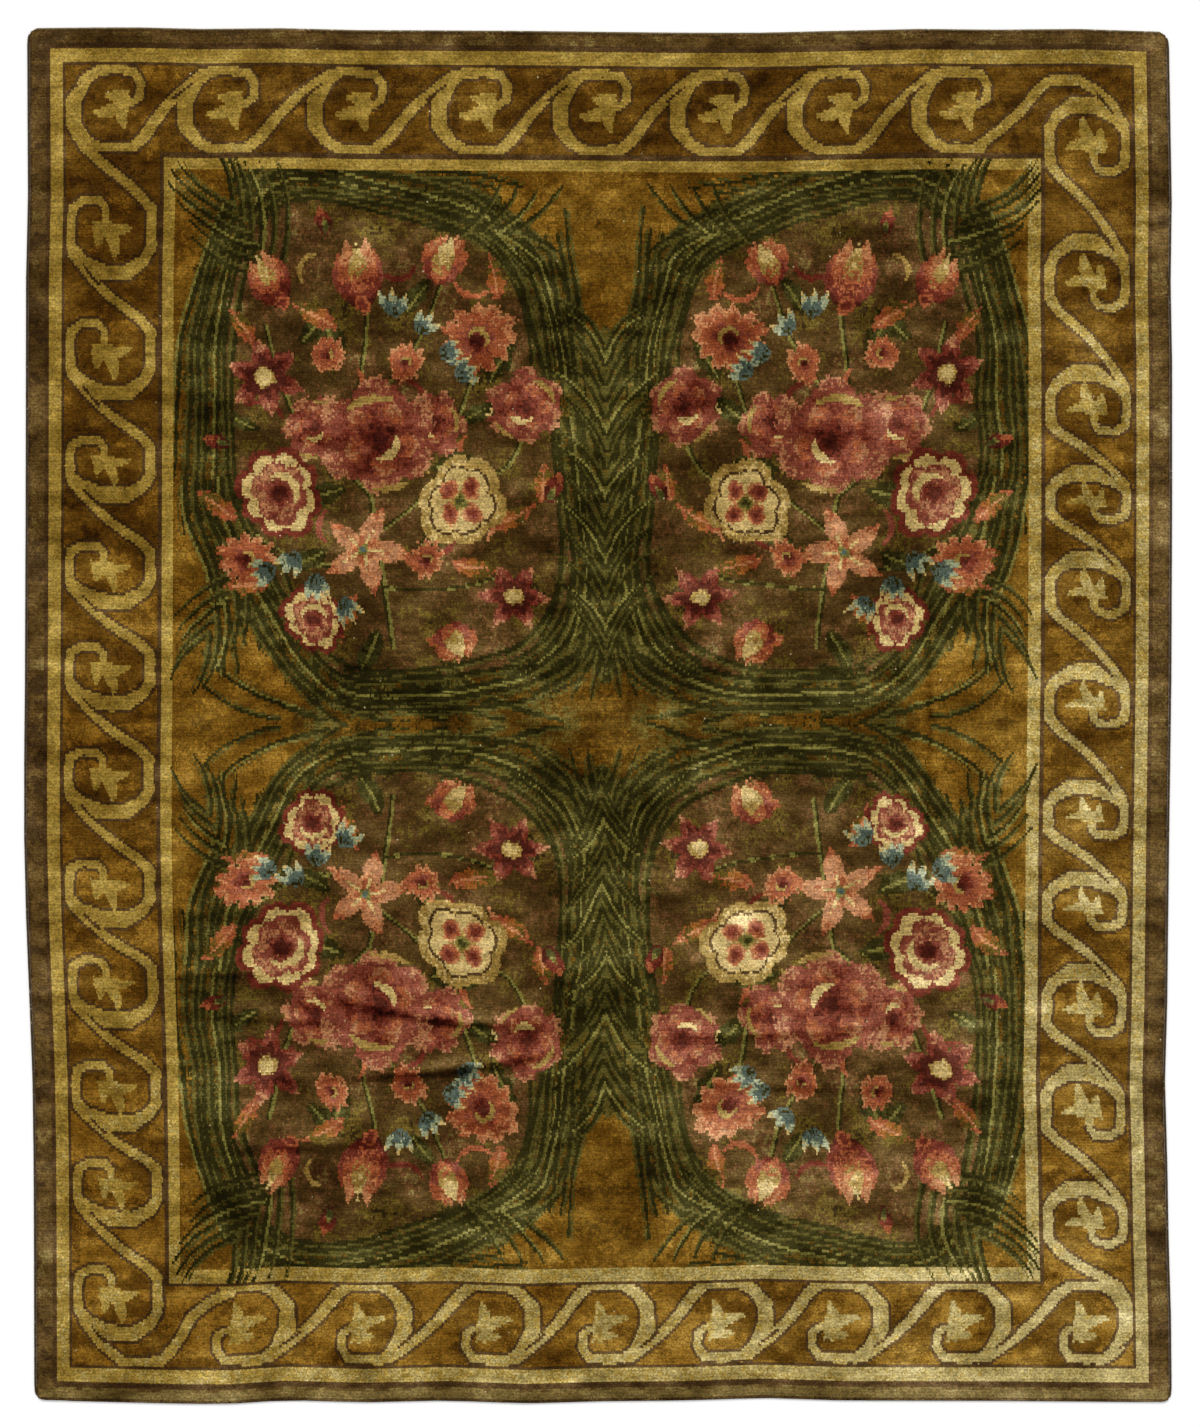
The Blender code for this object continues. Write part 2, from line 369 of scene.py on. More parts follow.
# %% The four rows of scrolls
# The direction in which a row's hooks open, how many sides it is turned on from the top one, its middle
# line and half-width, how far its leaves are shifted, how broad its links are, its scrolls, and the link
# round its corner
Run = namedtuple("Run", "sign turned middle half_width leaf_shift link_share scrolls corner_link")
Scroll = namedtuple("Scroll", "middle half")
RUNS = (
    Run(
        1, 0, 1.6165, 0.1155, 0.0, 1.0,
        (Scroll(-1.317, 0.105), Scroll(-1.016, 0.109), Scroll(-0.673, 0.106), Scroll(-0.340, 0.107),
         Scroll(-0.019, 0.105), Scroll(0.295, 0.105), Scroll(0.611, 0.110), Scroll(0.940, 0.107)),
        ((0.996, 1.510), (1.072, 1.568), (1.132, 1.621), (1.167, 1.665), (1.203, 1.695), (1.279, 1.697),
         (1.327, 1.670), (1.370, 1.631), (1.400, 1.580)),
    ),
    Run(
        -1, 1, 1.3015, 0.1135, -0.022, 0.85,
        (Scroll(1.547, 0.103), Scroll(1.183, 0.101), Scroll(0.842, 0.091), Scroll(0.590, 0.071),
         Scroll(0.350, 0.084), Scroll(0.052, 0.082), Scroll(-0.251, 0.075), Scroll(-0.495, 0.074),
         Scroll(-0.760, 0.094), Scroll(-1.032, 0.099), Scroll(-1.331, 0.085)),
        ((1.208, -1.402), (1.234, -1.433), (1.299, -1.476), (1.348, -1.500), (1.383, -1.522),
         (1.404, -1.553)),
    ),
    Run(
        -1, 2, -1.619, 0.111, 0.0, 1.0,
        (Scroll(1.325, 0.100), Scroll(0.990, 0.105), Scroll(0.659, 0.109), Scroll(0.351, 0.107),
         Scroll(0.038, 0.102), Scroll(-0.272, 0.106), Scroll(-0.611, 0.099), Scroll(-0.934, 0.112)),
        ((-0.994, -1.532), (-1.051, -1.557), (-1.102, -1.598), (-1.128, -1.649), (-1.154, -1.686),
         (-1.185, -1.719), (-1.287, -1.722), (-1.344, -1.675), (-1.392, -1.612)),
    ),
    Run(
        1, 3, -1.299, 0.121, -0.022, 0.85,
        (Scroll(-1.567, 0.099), Scroll(-1.271, 0.087), Scroll(-1.014, 0.091), Scroll(-0.737, 0.093),
         Scroll(-0.473, 0.087), Scroll(-0.182, 0.094), Scroll(0.103, 0.089), Scroll(0.373, 0.088),
         Scroll(0.656, 0.086), Scroll(0.946, 0.110), Scroll(1.271, 0.114)),
        ((-1.200, 1.356), (-1.246, 1.408), (-1.331, 1.475), (-1.372, 1.512), (-1.395, 1.550)),
    ),
)


def on_rug(run, along, outward):
    """From a row's own directions to x and y: the top row is turned 0, the next ones clockwise 1, 2, 3."""
    across = run.middle + outward if run.turned < 2 else run.middle - outward
    return (along, across) if run.turned % 2 == 0 else (across, along)


def along_scroll(run, scroll, turn):
    """How far along its row a turn of the scroll lies."""
    return scroll.middle + run.sign * turn.along * scroll.half


def scroll_path(run, place_in_run):
    """One scroll and its link to the next one, or to the corner, as rows of (x, y, half width)."""
    scroll = run.scrolls[place_in_run]
    rows = [(along_scroll(run, scroll, turn), turn.outward, turn.half_width) for turn in SCROLL]
    following = run.scrolls[place_in_run + 1 : place_in_run + 2]
    for next_scroll in following:
        start = rows[-1][0]
        way = next_scroll.middle - run.sign * LINK_END * next_scroll.half - start
        rows += [(start + way * link.part, link.outward, link.half_width * run.link_share) for link in LINK]
    path = [(*on_rug(run, along, outward * run.half_width), half) for along, outward, half in rows]
    if not following:
        path += [(x, y, CORNER_LINK) for x, y in run.corner_link]
    return np.array(path)


def slit_path(run, scroll):
    """The dark slit between a scroll's back and the link that joins it."""
    return np.array([
        (*on_rug(run, along_scroll(run, scroll, turn), turn.outward * run.half_width), turn.half_width)
        for turn in SLIT
    ])


def along_leaf(run, scroll, lobe, scale):
    """How far along its row a point of the scroll's leaf lies."""
    return scroll.middle + run.sign * (lobe.along + run.leaf_shift) * scale


def leaf_paths(run, scroll):
    """The leaf's stem and lobes."""
    scale = min(1.0, scroll.half / LEAF_NEEDS)
    start = SCROLL[0]
    hook = on_rug(run, along_scroll(run, scroll, start), start.outward * run.half_width)
    root = on_rug(run, along_leaf(run, scroll, LEAF[0][0], scale), LEAF_ROOT[0])
    paths = [np.array([(*hook, STEM_START), (*root, LEAF_ROOT[1])])]
    for lobes in LEAF:
        paths.append(np.array([
            (*on_rug(run, along_leaf(run, scroll, lobe, scale), lobe.outward), lobe.half_width * scale)
            for lobe in lobes
        ]))
    return paths

# %% Draw the border
def between(drawing, left, right, bottom, top):
    """Squares inside a rectangle."""
    return (drawing.x > left) & (drawing.x < right) & (drawing.y > bottom) & (drawing.y < top)


def draw_border(drawing):
    """Guard, outer fillet, scrolls and inner fillet. Returns the squares that the field fills."""
    # The guard is cloudy, and darker towards the left
    rim = np.minimum(HALF_WIDTH - abs(drawing.x), HALF_LENGTH - abs(drawing.y))
    cloudy = 0.5 + 0.35 * soft_noise(drawing.x.shape, 17, 63, 2) + 0.3 * soft_noise(drawing.x.shape, 5, 64, 2)
    shade(drawing, EVERYWHERE, rim > 0, ("panel light", "guard", "guard", "guard", "guard dark"),
          cloudy + 0.09 * np.maximum(-drawing.x, 0))
    pale = drawing.y < 0.008 * drawing.rag - FILLET_OUT_Y - PALE_FROM
    drawing.codes[pale & (rim > 0.004)] = CODE["panel light"]
    drawing.codes[rim + 0.004 * drawing.dither < RIM_LINE] = CODE["guard dark"]
    for spread, wool in ((LINE, "outline"), (0, "gold")):
        x, y = FILLET_OUT_X + spread, FILLET_OUT_Y + spread
        drawing.codes[between(drawing, -x, x, -y, y)] = CODE[wool]
    x, y = FILLET_IN_X, FILLET_IN_Y
    drawing.codes[between(drawing, -x, x, -y, y)] = CODE["outline"]

    # The scrolls' ground is blotched, and darker towards the top
    band = between(drawing, LINE - x, x - LINE, LINE - y, y - LINE)
    blotch = 0.37 + 0.3 * soft_noise(drawing.x.shape, 22, 61) + 0.2 * soft_noise(drawing.x.shape, 7, 62, 3)
    blotch += 0.19 * drawing.y / HALF_LENGTH
    grounds = ("amber light", "scroll ground", "scroll ground", "scroll ground dark")
    shade(drawing, EVERYWHERE, band, grounds, blotch)

    scrolls = np.full(drawing.x.shape, FAR)
    leaves, slits = scrolls.copy(), scrolls.copy()
    for run in RUNS:
        for place_in_run, scroll in enumerate(run.scrolls):
            paths = [(scrolls, scroll_path(run, place_in_run)), (slits, slit_path(run, scroll))]
            paths += [(leaves, path) for path in leaf_paths(run, scroll)]
            for depth, path in paths:
                window = drawing.window(path[:, :2], 0.035)
                found = depth_of(drawing.x[window], drawing.y[window], path)
                depth[window] = np.minimum(depth[window], found)
    wobble = 0.0012 * drawing.rag
    drawing.codes[(scrolls + wobble < OUTLINE) & band] = CODE["outline"]
    drawing.codes[(np.minimum(scrolls, leaves) + wobble < 0) & band] = CODE["gold"]
    drawing.codes[(slits + wobble < 0) & band] = CODE["outline"]

    edges = (INNER_LEFT[0], INNER_RIGHT[0], INNER_BOTTOM[0], INNER_TOP[0])
    dark = (edges[0] - LINE, edges[1] + LINE, edges[2] - LINE, edges[3] + LINE)
    drawing.codes[between(drawing, *dark)] = CODE["outline"]
    drawing.codes[between(drawing, *edges)] = CODE["gold"]

    # More and more of the gold knots are paler towards the right side and the bottom
    paler = 0.26 * drawing.x / HALF_WIDTH - 0.27 * drawing.y / HALF_LENGTH + 0.20 * drawing.rag
    paler = (drawing.codes == CODE["gold"]) & (paler > 0.20 + 0.25 * drawing.dither)
    drawing.codes[paler] = CODE["gold light"]
    return between(drawing, INNER_LEFT[1], INNER_RIGHT[1], INNER_BOTTOM[1], INNER_TOP[1])


rug = Drawing(knot_x, knot_y, 11, CODE["guard"])
rug.y = np.repeat(knot_y[0::2] + KNOT / 2, 2)[:, None] + 0 * rug.x  # edges step in pairs of rows
field = draw_border(rug)
print("scrolls:", sum(len(run.scrolls) for run in RUNS), "- field:", int(field.sum()), "knots")

# %% [markdown]
# The field.
# It is a floral field of an ordinary kind, one quarter of it drawn and mirrored to the other three: a dark
# panel with a bouquet, framed by bundles of long blades. The motifs are plain rosettes, petals and strokes,
# laid out freely. The quarter is drawn at half a knot's size, so that each of its mirror images can waver a
# little.

# %% The quarter and its panel
HALF_KNOT = KNOT / 2
PANEL_MIDDLE = (0.565, 0.760)  # outward from the middle lines
PANEL_RADII = (0.502, 0.662)
PANEL_POWER = 0.72  # under 1 squares the panel's outline off
PANEL_LEAN = 0.9  # direction in which the panel is longest, in radians
QUARTER_SIZE = (1.20, 1.53)
quarter = Drawing(*(np.arange(HALF_KNOT / 2, size, HALF_KNOT) for size in QUARTER_SIZE), 31, CLEAR)
soft = soft_noise(quarter.x.shape, 26, 33)
broad = soft_noise(quarter.x.shape, 60, 35)


def panel_edge(angle, offset=0.0):
    """The panel's outline: its radii times cos and sin of the angle, each to a power. It is drawn out
    towards the corner and the middle of the field, and has five low waves."""
    cosine, sine = np.cos(angle), np.sin(angle)
    wave = 1 + 0.10 * np.cos(2 * (angle - PANEL_LEAN)) + 0.025 * np.cos(5 * angle + 0.6)
    x = PANEL_MIDDLE[0] + (PANEL_RADII[0] * wave + offset) * np.sign(cosine) * abs(cosine) ** PANEL_POWER
    y = PANEL_MIDDLE[1] + (PANEL_RADII[1] * wave + offset) * np.sign(sine) * abs(sine) ** PANEL_POWER
    return x, y


def outside_panel(x, y):
    """Distance from the panel's middle, less the distance of its outline in the same direction."""
    across, up = x - PANEL_MIDDLE[0], y - PANEL_MIDDLE[1]
    root = 1 / PANEL_POWER
    angle = np.arctan2(
        np.sign(up) * abs(up / PANEL_RADII[1]) ** root, np.sign(across) * abs(across / PANEL_RADII[0]) ** root
    )
    edge_x, edge_y = panel_edge(angle)
    return np.hypot(across, up) - np.hypot(edge_x - PANEL_MIDDLE[0], edge_y - PANEL_MIDDLE[1])

# %% Grounds of the field
# Amber all over, darker and mossier along the middle lines, and a brown panel with plum and olive patches
x, y = quarter.x, quarter.y
inside_field = (x < INNER_RIGHT[1]) & (y < -INNER_BOTTOM[1])
shade(quarter, EVERYWHERE, inside_field, ("amber light", "amber", "amber", "amber dark"),
      0.45 + 0.30 * soft + 0.30 * broad, 0.3)
from_cross = np.hypot(np.maximum(x - 0.13, 0) / 0.9, np.maximum(y - 0.12, 0))
middle = inside_field & (from_cross + 0.05 * soft < 0.75)
middle &= (x < 0.16 + 0.03 * soft) | (y < 0.15 + 0.03 * soft)
shade(quarter, EVERYWHERE, middle, ("amber", "amber dark", "amber dark", "moss", "frond"),
      0.45 + 0.34 * soft + 0.2 * broad)
panel = inside_field & (outside_panel(x, y) + 0.012 * quarter.rag < 0)
shade(quarter, EVERYWHERE, panel, ("panel light", "plum", "panel", "panel", "moss", "panel dark"),
      0.52 + 0.26 * soft + 0.26 * broad, 0.24)

# A mossy ring under the blades that frame the panel, and a stalk up the middle of the field
ring_width = 0.052 + 0.02 * quarter.rag + 0.01 * broad
ring = inside_field & (abs(outside_panel(x, y) - 0.008 + 0.010 * soft) < ring_width)
shade(quarter, EVERYWHERE, ring, ("moss", "frond dark", "amber dark", "frond", "frond dark"),
      0.5 + 0.4 * soft, 0.35)
stalk = inside_field & (y > 0.14 + 0.05 * soft) & (y < 1.06 - x)
stalk &= x < 0.08 + 0.03 * np.sin(y * 9) + 0.03 * soft
shade(quarter, EVERYWHERE, stalk, ("frond dark", "frond", "moss", "amber dark"), 0.40 + 0.30 * soft, 0.35)
print("the panel has", int(panel.sum() / 4), "knots in each quarter")

# %% Blades
def blade(x, y, heading, length, curl, width, wool):
    """A narrow leaf: its heading turns by curl along its length, and its width shrinks to a half."""
    part = np.linspace(0, 1, 9)
    angle = heading + curl * part**1.3
    step = length / 8
    across = x + step * np.append(0, np.cumsum(np.cos(angle[1:])))
    up = y + step * np.append(0, np.cumsum(np.sin(angle[1:])))
    stroke(quarter, np.stack([across, up, width / 2 * (1 - 0.5 * part**2)], -1), wool)


def lit_blade(x, y, heading, length, curl, width, light):
    """A dark blade with a paler line beside it."""
    blade(x, y, heading, length, curl, width, "frond dark")
    side = heading + math.pi / 2
    blade(x + 0.65 * width * math.cos(side), y + 0.65 * width * math.sin(side), heading, 0.93 * length, curl,
          0.60 * width, light)


def light_wool(count):
    """Every fourth blade's line is lighter."""
    return "frond light" if count % 4 == 2 else "frond"


# A row of blades along the cross middle line, and a fan where the two middle lines meet
for count in range(16):
    lit_blade(0.12 + 0.050 * count, 0.010 + 0.014 * (count % 3), 0.10 + 0.05 * (count % 3),
              0.26 + 0.04 * math.sin(1.9 * count), 0.50 + 0.12 * (count % 4), 0.0105, light_wool(count))
for count in range(6):
    lit_blade(0.004, 0.34 - 0.02 * count, -math.pi / 2 + 0.10 + 0.17 * count, 0.27, 0.10 + 0.06 * count,
              0.0115, light_wool(count))

# %% Bundles round the panel
# Where a bundle starts on the panel's outline and how far round it goes, in degrees, the offsets of its
# first and last blade, how many there are, and how much they spread and flare
Bundle = namedtuple("Bundle", "start span first last count spread flare")
BUNDLES = (
    Bundle(52, 66, -0.068, 0.058, 7, 0.25, 0.10),
    Bundle(100, 75, -0.060, 0.045, 6, 0.40, -0.02),
    Bundle(118, -45, -0.055, 0.020, 4, 0.20, 0.03),
    Bundle(48, -62, -0.080, 0.046, 7, 0.15, 0.06),
    Bundle(-5, -48, -0.080, 0.055, 7, 0.40, 0.11),
    Bundle(-38, -52, -0.060, 0.040, 5, 0.30, 0.05),
    Bundle(-80, -60, -0.060, 0.040, 5, 0.30, 0.03),
    Bundle(-122, -50, -0.065, 0.050, 6, 0.30, 0.09),
    Bundle(178, 48, -0.055, 0.055, 6, 0.30, 0.06),
    Bundle(172, -40, -0.055, 0.055, 6, 0.30, 0.08),
)


def draw_bundle(bundle):
    """Blades side by side along the panel's outline, from one offset to another. They spread evenly as they
    go, and the outer ones bend away at their tips with the cube of the way."""
    middle, reach = (bundle.first + bundle.last) / 2, (bundle.last - bundle.first) / 2
    for count in range(bundle.count):
        share = 2 * count / (bundle.count - 1) - 1
        way = np.linspace(0, 1 - 0.10 * ((count * 7) % 5) / 4, 14)
        flare = bundle.flare * way**3 * (0.625 + 0.375 * share)
        offset = middle + reach * share * (0.95 + bundle.spread * way) + flare
        offset += 0.005 * np.sin(5 * way + 2.1 * count + bundle.start)
        angle = math.radians(bundle.start) + math.radians(bundle.span) * way
        half_width = 0.0062 * (1 - 0.45 * way**3)
        pale_line = np.stack([*panel_edge(angle, offset + 0.0100), 0.62 * half_width], -1)
        stroke(quarter, pale_line, light_wool(count))
        stroke(quarter, np.stack([*panel_edge(angle, offset), half_width], -1), "frond dark")


# A plume's root, the heading and length of its spine, how many pairs of blades it has, their length, angle,
# curl and width, and how much shorter the last ones are
Plume = namedtuple("Plume", "x y heading length count blade angle curl width taper")
PLUMES = (
    Plume(0.86, 1.20, 52, 0.22, 6, 0.30, 0.95, 0.75, 0.0130, 0.30),
    Plume(0.96, 0.40, -62, 0.18, 5, 0.20, 0.80, 0.60, 0.0120, 0.20),
    Plume(0.38, 1.30, 172, 0.14, 4, 0.19, 0.60, -0.45, 0.0120, 0.20),
)


def draw_plume(plume):
    """Blades that leave a spine in pairs, at an angle to it, and bend back towards its direction."""
    heading = math.radians(plume.heading)
    for count in range(plume.count):
        part = count / (plume.count - 1)
        root_x = plume.x + plume.length * part * math.cos(heading)
        root_y = plume.y + plume.length * part * math.sin(heading)
        for side in (1, -1):
            reach = plume.blade * (1 - plume.taper * part) * (1 + 0.12 * math.sin(5.1 * count + side))
            angle = heading + side * plume.angle * (1 - 0.35 * part)
            lit_blade(root_x, root_y, angle, reach, -side * plume.curl, plume.width, light_wool(count))


for bundle in BUNDLES:
    draw_bundle(bundle)
for count in range(20):
    length = 0.21 + 0.04 * math.sin(2.3 * count)
    lit_blade(0.004, 0.16 + 0.044 * count, math.pi / 2 - 0.30 - 0.04 * (count % 3), length,
              -0.45 - 0.12 * (count % 4), 0.0120, light_wool(count))

# Only the plumes cross the inner fillet, so their knots are kept apart
under_plumes = quarter.codes.copy()
for plume in PLUMES:
    draw_plume(plume)
plumes = quarter.codes != under_plumes
print(len(BUNDLES), "bundles and", len(PLUMES), "plumes in each quarter")

# %% [markdown]
# The flowers.
# They are the ordinary flowers of woven ornament: full roses, carnations, stars, lilies, tulips and small
# blue bells. Each is built from rosettes, whose edge swings in and out with the angle, and petals, whose
# width swells as a sine. The wools of a petal change from its root to its tip with some noise, as a weaver
# mixes neighbours.

# %% Rosettes and petals
def rosette(x, y, radius, petals, notch, wools, turn=0.0, rag=0.004, hollow=0.0, power=0.6):
    """Round petals: the edge is radius * (1 - notch * (1 - |cos(petals * angle / 2)|^power)), a little
    uneven."""
    window = quarter.window(np.array([(x, y)]), 1.2 * radius)
    across, up = quarter.x[window] - x, quarter.y[window] - y
    away, angle = np.hypot(across, up), np.arctan2(up, across) - turn
    uneven = 1 + 0.07 * np.sin(2 * angle + 9 * x) + 0.05 * np.sin(3 * angle + 7 * y)
    edge = radius * uneven * (1 - notch * (1 - abs(np.cos(petals * angle / 2)) ** power))
    inside = (away + rag * quarter.rag[window] < edge) & (away >= hollow)
    shade(quarter, window, inside, wools, away / edge + 0.10 * np.sin(angle - 1) * away / radius - 0.05, 0.32)


def petal(x, y, heading, length, width, wools, bend=0.0, rag=0.003):
    """A petal or leaf: half its width times the sine of the way along it, and its heading turns by bend."""
    part = np.linspace(0, 1, 7)
    angle = heading + bend * part
    across = x + length / 6 * np.append(0, np.cumsum(np.cos(angle[1:])))
    up = y + length / 6 * np.append(0, np.cumsum(np.sin(angle[1:])))
    half_width = width / 2 * np.sin(math.pi * np.clip(part + 0.08, 0, 1)) ** 0.8
    path = np.stack([across, up, half_width], -1)
    window = quarter.window(path[:, :2], width / 2 + rag)
    to_x, to_y = quarter.x[window], quarter.y[window]
    along = ((to_x - x) * math.cos(heading) + (to_y - y) * math.sin(heading)) / length
    inside = depth_of(to_x, to_y, path) + rag * quarter.rag[window] < 0
    shade(quarter, window, inside, wools, np.clip(along, 0, 1), 0.25)


def crescent(x, y, radius, start, end, width, wool):
    """A pale curl: a stroke along an arc, widest in its middle."""
    angle, part = np.linspace(start, end, 9), np.linspace(0.06, 0.94, 9)
    half_width = width / 2 * np.sin(math.pi * part) ** 0.7
    path = np.stack([x + radius * np.cos(angle), y + radius * np.sin(angle), half_width], -1)
    stroke(quarter, path, wool, 0.002)

# %% Round flowers
def full_rose(x, y, radius, turn):
    """Two rounds of broad crimson and pink petals, with pale curls."""
    for count in range(6):
        angle = turn + count * math.pi / 3
        petal(x, y, angle, radius * (1 + 0.12 * math.sin(5 * angle)), 0.86 * radius,
              ("burgundy", "crimson", "crimson", "pink", "pink", "pink light"), 0.3, 0.008)
    for count in range(5):
        angle = turn + 0.5 + count * 2 * math.pi / 5
        petal(x, y, angle, 0.66 * radius, 0.50 * radius,
              ("burgundy", "crimson", "pink", "coral", "pink light"), -0.3, 0.006)
    rosette(x, y, 0.22 * radius, 5, 0.25, ("burgundy", "burgundy", "crimson"), turn)
    crescent(x, y, 0.70 * radius, turn + 0.4, turn + 1.5, 0.15 * radius, "cream dark")
    crescent(x + 0.1 * radius, y, 0.36 * radius, turn + 2.6, turn + 4.2, 0.15 * radius, "cream")
    crescent(x, y, 0.86 * radius, turn + 3.7, turn + 4.4, 0.12 * radius, "cream dark")


def pale_rose(x, y, radius, turn):
    """A cream flower with a dark scalloped line and four small pink heads."""
    rosette(x, y, radius, 6, 0.16, ("cream", "cream", "cream", "cream dark"), turn, rag=0.003)
    rosette(x, y, 0.78 * radius, 6, 0.18, ("outline",), turn, rag=0.002)
    rosette(x, y, 0.72 * radius, 6, 0.18, ("cream dark", "cream", "cream"), turn, rag=0.003)
    for count in range(4):
        angle = turn + 0.5 + count * math.pi / 2
        rosette(x + 0.36 * radius * math.cos(angle), y + 0.36 * radius * math.sin(angle), 0.24 * radius,
                3, 0.25, ("crimson", "pink", "coral", "coral light"), angle)
    rosette(x, y, 0.16 * radius, 4, 0.2, ("leaf", "frond light"), turn)


def ringed_rose(x, y, radius, turn):
    """Crimson, with a cream ring round a pink heart."""
    rosette(x, y, radius, 8, 0.2, ("burgundy", "burgundy", "crimson", "crimson"), turn, rag=0.005)
    rosette(x, y, 0.84 * radius, 8, 0.2, ("cream dark", "cream"), turn, hollow=0.5 * radius)
    rosette(x, y, 0.66 * radius, 6, 0.2, ("crimson", "pink", "pink light", "pink"), turn + 0.3, rag=0.005)
    crescent(x, y, 0.38 * radius, turn, turn + 2.6, 0.18 * radius, "cream")
    rosette(x, y, 0.24 * radius, 5, 0.2, ("burgundy", "burgundy", "crimson"), turn)


def carnation(x, y, radius, turn):
    """Coral, with many notches."""
    rosette(x, y, radius, 11, 0.26, ("crimson", "pink", "coral", "coral", "coral light"), turn,
            rag=0.010, power=0.9)
    rosette(x, y, 0.55 * radius, 7, 0.3, ("burgundy", "crimson", "pink", "coral"), turn, rag=0.008)
    crescent(x, y, 0.25 * radius, turn, turn + 3.6, 0.16 * radius, "cream dark")

# %% Pointed flowers
def lily(x, y, radius, turn):
    """Five bent coral petals with pale veins."""
    for count in range(5):
        angle = turn + count * 2 * math.pi / 5
        petal(x, y, angle, radius, 0.44 * radius,
              ("coral", "coral light", "pink light", "coral light", "coral"), 0.25)
        petal(x, y, angle + 0.04, 0.62 * radius, 0.07 * radius, ("cream", "cream", "coral"), 0.25, 0.001)
    rosette(x, y, 0.13 * radius, 5, 0.2, ("blue", "frond light"), turn)


def star(x, y, radius, turn, points=6):
    """Pink points, burgundy within, round a cream eye."""
    for count in range(points):
        angle = turn + count * 2 * math.pi / points
        petal(x, y, angle, radius, 0.5 * radius, ("burgundy", "burgundy", "crimson", "pink", "pink light"))
        petal(x, y, angle, 0.66 * radius, 0.26 * radius, ("plum", "burgundy", "burgundy"), rag=0.002)
    rosette(x, y, 0.26 * radius, 8, 0.15, ("cream", "cream", "cream dark"), turn)


def tulip(x, y, heading, size):
    """Two outer, two inner and one middle petal on a small foot."""
    outer, inner = ("burgundy", "crimson", "pink", "coral"), ("crimson", "coral", "coral light")
    for aside, length, wools in ((0.62, 0.86, outer), (0.28, 1, inner)):
        for lean in (-aside, aside):
            petal(x, y, heading + lean, size * length, 0.36 * size, wools, -0.9 * lean)
    petal(x, y, heading, 0.92 * size, 0.30 * size, ("crimson", "coral", "cream dark", "cream"), rag=0.006)
    rosette(x, y, 0.12 * size, 3, 0.1, ("crimson", "coral"))


def cup(x, y, heading, size):
    """A closed round flower with a cream front petal."""
    for lean in (-0.9, 0.9, -0.45, 0.45):
        petal(x, y, heading + lean, 0.9 * size, 0.42 * size,
              ("crimson", "pink", "coral", "coral light"), -1.3 * lean, 0.006)
    petal(x, y, heading, 0.8 * size, 0.4 * size, ("coral", "cream dark", "cream", "cream"))


def bud(x, y, heading, size):
    """A closed crimson bud with a green foot."""
    petal(x, y, heading, size, 0.5 * size, ("burgundy", "crimson", "coral"))
    petal(x, y, heading + 0.1, 0.55 * size, 0.22 * size, ("leaf", "frond light"))


def bell(x, y, heading, size):
    """Three narrow blue petals, pale at their tips."""
    for lean in (-0.75, 0, 0.75):
        petal(x, y, heading + lean, size, 0.34 * size,
              ("blue", "blue", "blue light", "cream"), -0.6 * lean, 0.002)
        petal(x, y, heading + lean, 0.6 * size, 0.12 * size, ("leaf dark", "blue"), -0.6 * lean, 0.001)


def green_leaf(x, y, heading, length):
    """A ragged green leaf with a pale vein."""
    petal(x, y, heading, length, 0.42 * length, ("leaf dark", "leaf", "leaf dark"), 0.3, 0.006)
    petal(x, y, heading, 0.86 * length, 0.07 * length, ("frond light",), 0.3, 0.001)


def coral_leaf(x, y, heading, length):
    """A coral leaf with a paler vein, bent the other way."""
    petal(x, y, heading, length, 0.42 * length, ("coral", "orange", "moss", "coral"), -0.4, 0.006)
    petal(x, y, heading, 0.86 * length, 0.07 * length, ("coral light",), -0.4, 0.001)

# %% Stems and curls
STEMS = (
    ((0.56, 0.20), (0.60, 0.50), (0.66, 0.80), (0.62, 1.16)),
    ((0.60, 0.50), (0.45, 0.62), (0.33, 0.98)),
    ((0.62, 0.60), (0.84, 0.80), (0.90, 1.06)),
    ((0.66, 0.80), (0.50, 1.00), (0.43, 1.20)),
    ((0.60, 0.42), (0.80, 0.40), (0.93, 0.50)),
    ((0.45, 0.62), (0.25, 0.66), (0.20, 0.80)),
    ((0.58, 0.36), (0.38, 0.36), (0.27, 0.40)),
)
for stem in STEMS:
    for aside, half_width, wool in ((0, 0.005, "frond light"), (0.006, 0.003, "leaf dark")):
        stroke(quarter, [(x + aside, y, half_width) for x, y in stem], wool, 0.001, 2)

Curl = namedtuple("Curl", "x y radius start end width wool")
CURLS = (
    Curl(0.520, 0.640, 0.050, 0.4, 2.6, 0.016, "cream dark"),
    Curl(0.700, 0.905, 0.060, 2.4, 4.6, 0.018, "coral"),
    Curl(0.830, 0.720, 0.045, 3.6, 5.6, 0.016, "cream"),
    Curl(0.330, 0.720, 0.055, 5.2, 7.2, 0.018, "coral"),
    Curl(0.540, 0.860, 0.050, 1.2, 3.4, 0.015, "crimson"),
    Curl(0.920, 0.800, 0.060, 1.0, 3.0, 0.018, "crimson"),
    Curl(0.440, 0.500, 0.040, 2.8, 5.0, 0.015, "crimson"),
    Curl(0.250, 0.480, 0.060, 0.2, 2.0, 0.018, "coral light"),
    Curl(0.560, 1.240, 0.055, 3.4, 5.4, 0.016, "crimson"),
    Curl(0.760, 1.200, 0.045, 5.6, 7.8, 0.015, "cream dark"),
    Curl(0.350, 1.190, 0.055, 4.0, 6.0, 0.018, "coral"),
    Curl(0.880, 0.480, 0.045, 0.8, 2.6, 0.014, "coral light"),
    Curl(0.700, 0.520, 0.060, 5.4, 7.2, 0.017, "pink"),
    Curl(0.340, 0.860, 0.045, 2.2, 4.4, 0.016, "cream"),
)
for curl in CURLS:
    crescent(*curl)
print(len(STEMS), "stems and", len(CURLS), "curls in each quarter")

